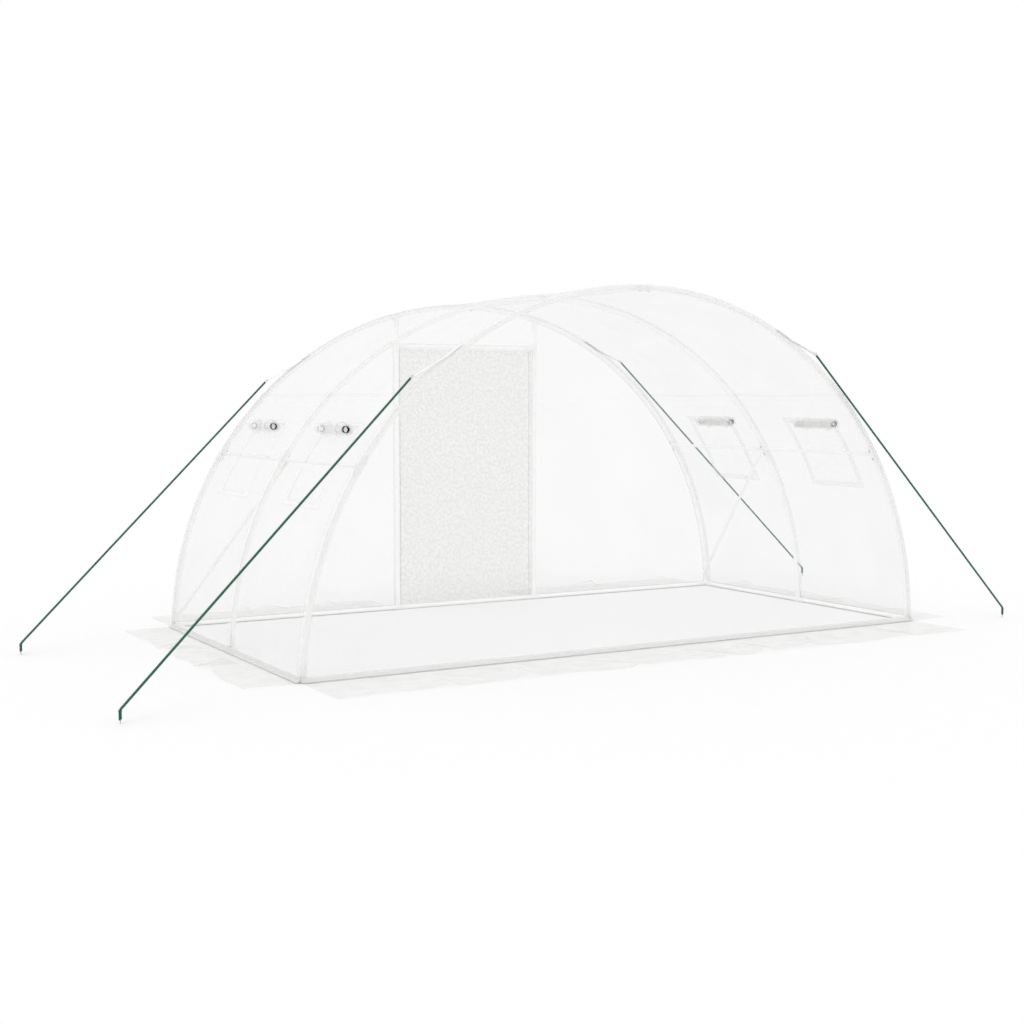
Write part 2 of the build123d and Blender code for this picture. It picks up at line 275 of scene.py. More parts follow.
def round_bar(
    path: np.ndarray,
    radius: float | np.ndarray,
    sides: int,
    across: Sequence[float],
    capped: bool = True,
) -> Surface:
    """A round bar along a path.

    Point (i, j) is path point i plus the radius times (cos a_j of the side vector plus sin a_j of the up
    vector). The side vector is the path's direction crossed with `across`.

    Args:
        path: Points of shape (n, 3).
        radius: One radius, or one for each point.
        sides: The number of sides round the bar.
        across: A direction that the path never runs along.
        capped: Whether the ends are closed.

    Returns:
        The bar's surface, with its map in metres round and along it.
    """
    ahead = unit(np.gradient(path, axis=0))
    side = unit(np.cross(ahead, np.asarray(across, float)))
    up = np.cross(ahead, side)
    radii = np.broadcast_to(np.asarray(radius, float), (len(path),))[:, None, None]
    turn = np.linspace(0, TURN, sides, endpoint=False)
    ring = np.cos(turn)[None, :, None] * side[:, None] + np.sin(turn)[None, :, None] * up[:, None]
    round_map = np.linspace(0, TURN, sides + 1) * float(np.mean(radii))
    uv = stacked(round_map[None], run_length(path)[:, None])
    return grid(path[:, None] + radii * ring, uv, wrap=True, capped=capped)


def strip(path: np.ndarray, across: np.ndarray, width: float) -> Surface:
    """A flat strip along a path: point (i, j) is path point i plus t_j times the across vector.

    Args:
        path: Points of shape (n, 3).
        across: A direction for each point, or one for all.
        width: The strip's width.

    Returns:
        The strip's surface, with its map in metres.
    """
    t = np.linspace(-width / 2, width / 2, 3)
    directions = np.broadcast_to(unit(np.asarray(across, float)), path.shape)
    points = path[:, None] + t[None, :, None] * directions[:, None]
    uv = stacked(t[None], run_length(path)[:, None])
    return grid(points, uv)


def helix(centre: np.ndarray, radius: float, pitch: float, phase: float, across: Sequence[float]) -> np.ndarray:
    """A helix about a path: centre plus radius times (cos, sin) of the turn that the run has made.

    Args:
        centre: The path's points, close together.
        radius: The helix's radius.
        pitch: The run that one turn takes.
        phase: The turn at the start.
        across: A direction that the path never runs along.

    Returns:
        The helix's points, one for each point of the path.
    """
    ahead = unit(np.gradient(centre, axis=0))
    side = unit(np.cross(ahead, np.asarray(across, float)))
    up = np.cross(ahead, side)
    turn = run_length(centre) / pitch * TURN + phase
    return centre + radius * (np.cos(turn)[:, None] * side + np.sin(turn)[:, None] * up)


def stations(breaks: Sequence[float], step: float) -> np.ndarray:
    """Places along a line that include every break and stand about a step apart.

    Args:
        breaks: Places that have to be hit, from low to high.
        step: The usual distance.

    Returns:
        The places, from the first break to the last.
    """
    spans = [np.linspace(a, b, max(2, round((b - a) / step) + 1))[:-1] for a, b in zip(breaks, breaks[1:])]
    return np.concatenate([*spans, [breaks[-1]]])


def smooth_step(t: np.ndarray) -> np.ndarray:
    """Rises from 0 to 1 as t does, level at both ends: 3t^2 - 2t^3."""
    t = np.clip(t, 0.0, 1.0)
    return t * t * (3 - 2 * t)


def hump(t: np.ndarray, middle: float, reach: float) -> np.ndarray:
    """A smooth hump of height one: e to the minus squared distance from the middle over the reach."""
    return np.exp(-(((t - middle) / reach) ** 2))


@dataclass(frozen=True)
class Ripples:
    """Soft folds: a sum of plane waves with seeded headings, lengths and phases."""

    seed: int
    shortest: float
    longest: float
    waves: int = 14
    heading: float | None = None
    spread: float = 0.35

    def height(self, u: np.ndarray, v: np.ndarray) -> np.ndarray:
        """The folds' height: the sum of w_k sin(turn (u cos h_k + v sin h_k) / l_k + p_k), about -1 to 1.

        Args:
            u: First flat coordinate in metres.
            v: Second flat coordinate in metres.

        Returns:
            The height at each point.
        """
        draw = np.random.default_rng(self.seed)
        length = np.exp(draw.uniform(math.log(self.shortest), math.log(self.longest), self.waves))
        if self.heading is None:
            turn = draw.uniform(0, TURN, self.waves)
        else:
            turn = draw.normal(self.heading, self.spread, self.waves)
        phase = draw.uniform(0, TURN, self.waves)
        weight = length / np.sqrt((length**2).sum() / 2)
        travel = (u[..., None] * np.cos(turn) + v[..., None] * np.sin(turn)) / length
        return (weight * np.sin(TURN * travel + phase)).sum(-1) / 2


def fold_ridge(u: np.ndarray, pitch: float, start: float, width: float) -> np.ndarray:
    """Sharp ridges of packing folds: e to the minus distance from the nearest fold over the width.

    Args:
        u: A flat coordinate in metres.
        pitch: The distance between folds.
        start: The place of one fold.
        width: How fast a ridge falls away.

    Returns:
        The ridge's height at each point, from 0 to 1.
    """
    away = np.abs(np.mod(u - start + pitch / 2, pitch) - pitch / 2)
    return np.exp(-away / width)


class Graph:
    """A shader node tree with short calls that add and link its nodes."""

    def __init__(self, tree: bpy.types.NodeTree) -> None:
        """Takes the tree to add to."""
        self.tree = tree

    def node(self, kind: str, settings: dict | None = None, **inputs: object) -> bpy.types.Node:
        """Adds a node.

        Args:
            kind: The node's type without its ShaderNode prefix.
            settings: Properties of the node itself.
            inputs: Values or sockets for its inputs, by name with _ for a space.

        Returns:
            The node.
        """
        made = self.tree.nodes.new("ShaderNode" + kind)
        for key, value in (settings or {}).items():
            setattr(made, key, value)
        for key, value in inputs.items():
            self.put(made.inputs[key.replace("_", " ")], value)
        return made

    def put(self, socket: bpy.types.NodeSocket, value: object) -> None:
        """Links a socket to an input, or sets the input's own value."""
        if isinstance(value, bpy.types.NodeSocket):
            self.tree.links.new(value, socket)
        else:
            socket.default_value = value

    def math(self, operation: str, *values: object) -> bpy.types.NodeSocket:
        """A Math node's result on up to three values or sockets."""
        made = self.node("Math", {"operation": operation})
        for socket, value in zip(made.inputs, values):
            self.put(socket, value)
        return made.outputs[0]

    def blend(self, factor: object, low: object, high: object) -> bpy.types.NodeSocket:
        """A colour between two, by a factor."""
        made = self.node("Mix", {"data_type": "RGBA"})
        colours = [s for s in made.inputs if s.type == "RGBA"]
        self.put(made.inputs[0], factor)
        self.put(colours[0], low)
        self.put(colours[1], high)
        return next(s for s in made.outputs if s.type == "RGBA")

    def remap(self, value: object, low: float, high: float, to_low: float, to_high: float) -> bpy.types.NodeSocket:
        """A value carried smoothly from one range to another, held at its ends."""
        made = self.node("MapRange", {"interpolation_type": "SMOOTHSTEP"}, Value=value)
        for name, number in (("From Min", low), ("From Max", high), ("To Min", to_low), ("To Max", to_high)):
            made.inputs[name].default_value = number
        return made.outputs[0]


def node_group(
    name: str,
    inputs: Sequence[tuple[str, str, object]],
    outputs: Sequence[tuple[str, str]],
) -> tuple[Graph, bpy.types.Node, bpy.types.Node]:
    """Starts a shader node group.

    Args:
        name: The group's name.
        inputs: Each input's name, kind and default value.
        outputs: Each output's name and kind.

    Returns:
        The graph to fill, the group's input node and its output node.
    """
    tree = bpy.data.node_groups.new(name, "ShaderNodeTree")
    for label, kind, default in inputs:
        socket = tree.interface.new_socket(label, in_out="INPUT", socket_type="NodeSocket" + kind)
        if default is not None:
            socket.default_value = default
    for label, kind in outputs:
        tree.interface.new_socket(label, in_out="OUTPUT", socket_type="NodeSocket" + kind)
    return Graph(tree), tree.nodes.new("NodeGroupInput"), tree.nodes.new("NodeGroupOutput")


def woven_threads() -> bpy.types.NodeTree:
    """The group of woven threads: on each axis, (half plus half the cosine of the turn) to a power.

    Returns:
        A group with a map, a pitch and a sharpness, which puts out the threads and their height.
    """
    graph, given, put_out = node_group(
        "woven_threads",
        [("Map", "Vector", None), ("Pitch", "Float", 0.008), ("Sharpness", "Float", 6.0)],
        [("Threads", "Float"), ("Height", "Float")],
    )
    axes = graph.node("SeparateXYZ", Vector=given.outputs["Map"])
    waves = []
    for axis in ("X", "Y"):
        turns = graph.math("DIVIDE", axes.outputs[axis], given.outputs["Pitch"])
        wave = graph.math("COSINE", graph.math("MULTIPLY", turns, TURN))
        raised = graph.math("MULTIPLY_ADD", wave, 0.5, 0.5)
        waves.append(graph.math("POWER", raised, given.outputs["Sharpness"]))
    graph.put(put_out.inputs["Threads"], graph.math("MAXIMUM", *waves))
    graph.put(put_out.inputs["Height"], graph.math("ADD", *waves))
    return graph.tree


def crumpled_film() -> bpy.types.NodeTree:
    """The group of fine creases: how near a point is to the edge of a cell, in cells warped by noise.

    Returns:
        A group with a map, a size and a crease width, which puts out the creases and a soft shading.
    """
    graph, given, put_out = node_group(
        "crumpled_film",
        [("Map", "Vector", None), ("Size", "Float", 0.12), ("Width", "Float", 0.05)],
        [("Creases", "Float"), ("Shade", "Float")],
    )
    per_metre = graph.math("DIVIDE", 1.0, given.outputs["Size"])
    noise = graph.node("TexNoise", Vector=given.outputs["Map"], Scale=per_metre, Detail=3.0)
    warp = graph.node("VectorMath", {"operation": "SCALE"})
    graph.put(warp.inputs[0], noise.outputs["Color"])
    graph.put(warp.inputs["Scale"], graph.math("MULTIPLY", given.outputs["Size"], 0.9))
    moved = graph.node("VectorMath", {"operation": "ADD"})
    graph.put(moved.inputs[0], given.outputs["Map"])
    graph.put(moved.inputs[1], warp.outputs[0])
    cells = graph.node("TexVoronoi", {"feature": "DISTANCE_TO_EDGE"}, Vector=moved.outputs[0], Scale=per_metre)
    near = graph.math("DIVIDE", cells.outputs["Distance"], given.outputs["Width"])
    inside = graph.math("SUBTRACT", 1.0, graph.math("MINIMUM", near, 1.0))
    graph.put(put_out.inputs["Creases"], graph.math("POWER", inside, 2.0))
    graph.put(put_out.inputs["Shade"], noise.outputs["Fac"])
    return graph.tree


def drifting_haze() -> bpy.types.NodeTree:
    """The group of broad soft cloudiness: one noise of few octaves, carried smoothly to run from 0 to 1.

    Returns:
        A group with a map and a size, which puts out the haze.
    """
    graph, given, put_out = node_group(
        "drifting_haze",
        [("Map", "Vector", None), ("Size", "Float", 0.3)],
        [("Haze", "Float")],
    )
    per_metre = graph.math("DIVIDE", 1.0, given.outputs["Size"])
    noise = graph.node("TexNoise", Vector=given.outputs["Map"], Scale=per_metre, Detail=1.0)
    graph.put(put_out.inputs["Haze"], graph.remap(noise.outputs["Fac"], 0.3, 0.7, 0.0, 1.0))
    return graph.tree


def soft_grain() -> bpy.types.NodeTree:
    """The group of powder-coat grain: two sizes of noise, one for the height and one for wear and dust.

    Returns:
        A group with a map and a size, which puts out the grain and the wear.
    """
    graph, given, put_out = node_group(
        "soft_grain",
        [("Map", "Vector", None), ("Size", "Float", 0.002)],
        [("Grain", "Float"), ("Wear", "Float")],
    )
    per_metre = graph.math("DIVIDE", 1.0, given.outputs["Size"])
    grain = graph.node("TexNoise", Vector=given.outputs["Map"], Scale=per_metre, Detail=2.0)
    broad = graph.node("TexNoise", Vector=given.outputs["Map"], Scale=9.0, Detail=4.0)
    graph.put(put_out.inputs["Grain"], grain.outputs["Fac"])
    graph.put(put_out.inputs["Wear"], graph.remap(broad.outputs["Fac"], 0.45, 0.75, 0.0, 1.0))
    return graph.tree


@dataclass(frozen=True)
class Groups:
    """The node groups that several materials share."""

    threads: bpy.types.NodeTree
    creases: bpy.types.NodeTree
    haze: bpy.types.NodeTree
    grain: bpy.types.NodeTree

    @classmethod
    def build(cls) -> "Groups":
        """Builds each group once."""
        return cls(woven_threads(), crumpled_film(), drifting_haze(), soft_grain())


class Paint:
    """A material under way: its graph, its Principled shader and its maps."""

    def __init__(self, name: str) -> None:
        """Starts a material with this name."""
        self.material = bpy.data.materials.new(name)
        self.material.use_nodes = True
        self.graph = Graph(self.material.node_tree)
        self.shader = self.material.node_tree.nodes["Principled BSDF"]
        self.places = self.graph.node("TexCoord")

    @property
    def own_map(self) -> bpy.types.NodeSocket:
        """The piece's own flat map, in metres."""
        return self.places.outputs["UV"]

    @property
    def space(self) -> bpy.types.NodeSocket:
        """The piece's own space, in metres."""
        return self.places.outputs["Object"]

    def use(self, tree: bpy.types.NodeTree, **inputs: object) -> bpy.types.Node:
        """Puts a shared group into the material with its own values."""
        made = self.graph.node("Group", {"node_tree": tree})
        for key, value in inputs.items():
            self.graph.put(made.inputs[key], value)
        return made

    def bump(self, height: bpy.types.NodeSocket, depth: float, strength: float = 1.0) -> None:
        """Sets the shader's normal from a height."""
        made = self.graph.node("Bump", Strength=strength, Distance=depth, Height=height)
        self.set("Normal", made.outputs[0])

    def set(self, socket: str, value: object) -> None:
        """Sets or links one of the shader's inputs."""
        self.graph.put(self.shader.inputs[socket], value)


def grey(level: float) -> tuple[float, float, float, float]:
    """A neutral colour of this linear level."""
    return (level, level, level, 1.0)


@dataclass(frozen=True)
class WovenFilm:
    """Clear film with a woven grid inside, a little cloudier along its threads and in broad patches."""

    name: str
    colour: tuple[float, float, float, float] = (0.68, 0.69, 0.68, 1.0)
    thread_colour: tuple[float, float, float, float] = (0.76, 0.77, 0.76, 1.0)
    pitch: float = 0.011
    sharpness: float = 4.0
    clear_alpha: float = 0.062
    thread_alpha: float = 0.045
    haze_alpha: float = 0.022
    haze_size: float = 0.34
    roughness: float = 0.42
    bump_depth: float = 0.00008

    def build(self, groups: Groups) -> bpy.types.Material:
        """Makes the material: alpha is the clear film's plus shares for the threads and the haze.

        Args:
            groups: The shared node groups.

        Returns:
            The material.
        """
        paint = Paint(self.name)
        graph = paint.graph
        woven = paint.use(groups.threads, Map=paint.own_map, Pitch=self.pitch, Sharpness=self.sharpness)
        haze = paint.use(groups.haze, Map=paint.space, Size=self.haze_size).outputs["Haze"]
        threads = woven.outputs["Threads"]
        alpha = graph.math("MULTIPLY_ADD", threads, self.thread_alpha, self.clear_alpha)
        paint.set("Alpha", graph.math("MULTIPLY_ADD", haze, self.haze_alpha, alpha))
        paint.set("Base Color", graph.blend(threads, self.colour, self.thread_colour))
        paint.set("Roughness", graph.remap(haze, 0.0, 1.0, self.roughness, self.roughness + 0.15))
        paint.set("IOR", 1.5)
        paint.bump(threads, self.bump_depth, 0.6)
        return paint.material


@dataclass(frozen=True)
class Mesh:
    """Fine net of round threads with open meshes between them."""

    name: str
    colour: tuple[float, float, float, float]
    pitch: float = 0.004
    sharpness: float = 2.0
    open_alpha: float = 0.04
    thread_alpha: float = 0.10
    mottle: float = 0.02
    mottle_size: float = 0.014
    roughness: float = 0.6

    def build(self, groups: Groups) -> bpy.types.Material:
        """Makes the material: alpha rises from the open meshes to the threads, mottled by noise.

        Args:
            groups: The shared node groups.

        Returns:
            The material.
        """
        paint = Paint(self.name)
        graph = paint.graph
        woven = paint.use(groups.threads, Map=paint.own_map, Pitch=self.pitch, Sharpness=self.sharpness)
        threads = woven.outputs["Threads"]
        mottle = graph.node("TexNoise", Vector=paint.space, Scale=1.0 / self.mottle_size, Detail=1.0)
        shade = graph.remap(mottle.outputs["Fac"], 0.35, 0.65, -self.mottle, self.mottle)
        alpha = graph.math("MULTIPLY_ADD", threads, self.thread_alpha, self.open_alpha)
        alpha = graph.math("ADD", alpha, shade)
        paint.set("Alpha", graph.math("MAXIMUM", graph.math("MINIMUM", alpha, 1.0), 0.0))
        darker = tuple(0.88 * c for c in self.colour[:3]) + (1.0,)
        paint.set("Base Color", graph.blend(mottle.outputs["Fac"], darker, self.colour))
        paint.set("Roughness", self.roughness)
        paint.bump(woven.outputs["Height"], 0.00012)
        return paint.material


@dataclass(frozen=True)
class Tape:
    """Woven tape or doubled film, as on hems, straps and rolled flaps, see-through where alpha is under one."""

    name: str
    colour: tuple[float, float, float, float] = (0.97, 0.97, 0.965, 1.0)
    pitch: float = 0.003
    sharpness: float = 1.2
    roughness: float = 0.55
    alpha: float = 1.0
    bump_depth: float = 0.00010
    crease_size: float = 0.05
    crease_depth: float = 0.8

    def build(self, groups: Groups) -> bpy.types.Material:
        """Makes the material: a tight weave with painted shade in the gaps between its threads, and fine creases
        in its height.

        Args:
            groups: The shared node groups.

        Returns:
            The material.
        """
        paint = Paint(self.name)
        graph = paint.graph
        woven = paint.use(groups.threads, Map=paint.own_map, Pitch=self.pitch, Sharpness=self.sharpness)
        creased = paint.use(groups.creases, Map=paint.space, Size=self.crease_size)
        # painted shade: the colour is made 7% darker in the gaps between the threads
        darker = tuple(0.93 * c for c in self.colour[:3]) + (1.0,)
        paint.set("Base Color", graph.blend(woven.outputs["Threads"], darker, self.colour))
        low, high = self.roughness - 0.08, self.roughness + 0.08
        paint.set("Roughness", graph.remap(creased.outputs["Shade"], 0.3, 0.7, low, high))
        paint.set("Alpha", self.alpha)
        creases = creased.outputs["Creases"]
        height = graph.math("MULTIPLY_ADD", creases, self.crease_depth, woven.outputs["Height"])
        paint.bump(height, self.bump_depth)
        return paint.material


@dataclass(frozen=True)
class PowderCoat:
    """White powder coat on steel, with a fine grain, a little dust and duller worn places."""

    name: str
    colour: tuple[float, float, float, float] = (0.97, 0.97, 0.965, 1.0)
    dust: tuple[float, float, float, float] = (0.91, 0.91, 0.90, 1.0)
    roughness: float = 0.38
    grain_size: float = 0.0022

    def build(self, groups: Groups) -> bpy.types.Material:
        """Makes the material: dust where the wear is high, and a grain in the height.

        Args:
            groups: The shared node groups.

        Returns:
            The material.
        """
        paint = Paint(self.name)
        graph = paint.graph
        grain = paint.use(groups.grain, Map=paint.space, Size=self.grain_size)
        share = graph.math("MULTIPLY", grain.outputs["Wear"], 0.45)
        paint.set("Base Color", graph.blend(share, self.colour, self.dust))
        duller = self.roughness + 0.22
        paint.set("Roughness", graph.remap(grain.outputs["Wear"], 0.0, 1.0, self.roughness, duller))
        paint.set("IOR", 1.5)
        paint.bump(grain.outputs["Grain"], 0.00006)
        return paint.material


@dataclass(frozen=True)
class BrightSteel:
    """Bright drawn steel of pegs, rings and bolts, dulled in patches."""

    name: str
    colour: tuple[float, float, float, float] = (0.56, 0.56, 0.55, 1.0)
    dull: tuple[float, float, float, float] = (0.40, 0.39, 0.37, 1.0)
    roughness: float = 0.32

    def build(self, groups: Groups) -> bpy.types.Material:
        """Makes the material: metal whose colour and roughness follow the wear.

        Args:
            groups: The shared node groups.

        Returns:
            The material.
        """
        paint = Paint(self.name)
        graph = paint.graph
        grain = paint.use(groups.grain, Map=paint.space, Size=0.0015)
        paint.set("Metallic", 1.0)
        paint.set("Base Color", graph.blend(grain.outputs["Wear"], self.colour, self.dull))
        duller = self.roughness + 0.25
        paint.set("Roughness", graph.remap(grain.outputs["Wear"], 0.0, 1.0, self.roughness, duller))
        paint.bump(grain.outputs["Grain"], 0.00005)
        return paint.material


@dataclass(frozen=True)
class RopeYarn:
    """Dark green plastic yarn, with fibres along each strand."""

    name: str
    colour: tuple[float, float, float, float] = (0.010, 0.150, 0.088, 1.0)
    # the darker green painted between the fibres as their shade
    painted_fibre_shade: tuple[float, float, float, float] = (0.004, 0.070, 0.042, 1.0)
    fibre: float = 0.0011
    roughness: float = 0.42

    def build(self, groups: Groups) -> bpy.types.Material:
        """Makes the material: fibres as stripes round the strand, mottled by noise, with painted shade between
        them.

        Args:
            groups: The shared node groups.

        Returns:
            The material.
        """
        paint = Paint(self.name)
        graph = paint.graph
        woven = paint.use(groups.threads, Map=paint.own_map, Pitch=self.fibre, Sharpness=1.0)
        noise = graph.node("TexNoise", Vector=paint.space, Scale=90.0, Detail=3.0)
        # painted shade: the colour falls to the darker green between the fibres, mottled by noise
        lit = graph.math("MULTIPLY", woven.outputs["Threads"], noise.outputs["Fac"])
        paint.set("Base Color", graph.blend(graph.math("MULTIPLY", lit, 1.6), self.painted_fibre_shade, self.colour))
        paint.set("Roughness", self.roughness)
        paint.bump(woven.outputs["Height"], 0.00008)
        return paint.material


@dataclass(frozen=True)
class DarkBoreSleeve:
    """Near-black sleeves in the ends of a rolled flap's open middle, so that the bore reads near black."""

    name: str
    colour: tuple[float, float, float, float] = (0.010, 0.010, 0.011, 1.0)
    roughness: float = 0.7

    def build(self, groups: Groups) -> bpy.types.Material:
        """Makes the material: near black with a fine weave in its height, and painted shade in the gaps between
        its threads.

        Args:
            groups: The shared node groups.

        Returns:
            The material.
        """
        paint = Paint(self.name)
        woven = paint.use(groups.threads, Map=paint.own_map, Pitch=0.003, Sharpness=1.0)
        # painted shade: the threads are 1.8 times as light as the gaps between them
        lighter = tuple(1.8 * c for c in self.colour[:3]) + (1.0,)
        paint.set("Base Color", paint.graph.blend(woven.outputs["Threads"], self.colour, lighter))
        paint.set("Roughness", self.roughness)
        paint.bump(woven.outputs["Height"], 0.0001)
        return paint.material


@dataclass(frozen=True)
class Finishes:
    """Every material of the tunnel."""

    cover: bpy.types.Material
    gable: bpy.types.Material
    seam: bpy.types.Material
    flap: bpy.types.Material
    hem: bpy.types.Material
    ground_hem: bpy.types.Material
    roll: bpy.types.Material
    window_net: bpy.types.Material
    door_net: bpy.types.Material
    zip_tape: bpy.types.Material
    tube: bpy.types.Material
    joint: bpy.types.Material
    steel: bpy.types.Material
    rope: bpy.types.Material
    webbing: bpy.types.Material
    lining: bpy.types.Material

    @classmethod
    def build(cls) -> "Finishes":
        """Builds the shared groups and then each material."""
        groups = Groups.build()
        return cls(
            cover=WovenFilm("cover_film").build(groups),
            gable=WovenFilm(
                "gable_film", clear_alpha=0.032, thread_alpha=0.03, haze_alpha=0.018, haze_size=0.45
            ).build(groups),
            seam=WovenFilm("seam_film", clear_alpha=0.02, thread_alpha=0.03, haze_alpha=0.01).build(groups),
            flap=WovenFilm(
                "flap_film",
                colour=(0.70, 0.71, 0.68, 1.0),
                thread_colour=(0.80, 0.81, 0.78, 1.0),
                thread_alpha=0.01,
                clear_alpha=0.07,
                haze_alpha=0.04,
                haze_size=0.12,
            ).build(groups),
            hem=Tape("hem_tape", alpha=0.22, bump_depth=0.00002).build(groups),
            ground_hem=Tape("ground_hem_tape", alpha=0.5, bump_depth=0.00002).build(groups),
            roll=Tape(
                "rolled_film",
                pitch=0.008,
                sharpness=4.0,
                roughness=0.4,
                alpha=0.2,
                bump_depth=0.00005,
            ).build(groups),
            window_net=Mesh("window_net", (0.80, 0.80, 0.79, 1.0)).build(groups),
            door_net=Mesh(
                "door_net",
                (0.60, 0.61, 0.58, 1.0),
                open_alpha=0.09,
                thread_alpha=0.11,
                mottle=0.035,
                mottle_size=0.02,
            ).build(groups),
            zip_tape=Tape("zip_tape", colour=(0.92, 0.92, 0.91, 1.0)).build(groups),
            tube=PowderCoat("tube_coat").build(groups),
            joint=PowderCoat("joint_coat", colour=(0.93, 0.93, 0.925, 1.0), roughness=0.45).build(groups),
            steel=BrightSteel("bright_steel").build(groups),
            rope=RopeYarn("rope_yarn").build(groups),
            webbing=Tape(
                "strap_webbing", colour=(0.94, 0.94, 0.935, 1.0), pitch=0.0022, bump_depth=0.00003
            ).build(groups),
            lining=DarkBoreSleeve("roll_dark_sleeve").build(groups),
        )


@dataclass
class Hoops:
    """The three hoops as smooth bent tubes in four lengths each, in place of the CAD bars with flats."""

    outline: Outline
    finishes: Finishes
    sides: int = 24
    step: float = 0.03

    def build(self) -> None:
        """Makes one piece for each hoop.

        A tube's line is a circle about the hoops' centre line at the tube's own radius.
        """
        purlin_angle = self.purlin_angle()
        for name, y in zip(("near", "middle", "far"), self.outline.hoop_ys):
            low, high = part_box(f"hoop_{name}")
            tube_radius = (high.y - low.y) / 2
            line = high.z - tube_radius - self.outline.centre_z
            first = math.asin((low.z - self.outline.centre_z) / line)
            bends = [first, purlin_angle, math.pi / 2, math.pi - purlin_angle, math.pi - first]
            tubes = []
            for start, end in zip(bends, bends[1:]):
                angle = np.linspace(start, end, round((end - start) * line / self.step))
                height = self.outline.centre_z + line * np.sin(angle)
                path = np.stack([line * np.cos(angle), np.full_like(angle, y), height], -1)
                tubes.append(round_bar(path, tube_radius, self.sides, (0, 1, 0)))
            piece = make_piece(f"bent_tubes_{name}", joined(tubes), self.finishes.tube)
            turn_outwards(piece)
            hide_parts(f"hoop_{name}")

    def purlin_angle(self) -> float:
        """The angle of the right purlin, from its box's middle."""
        low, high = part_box("purlin_right")
        return math.atan2((low.z + high.z) / 2 - self.outline.centre_z, (low.x + high.x) / 2)


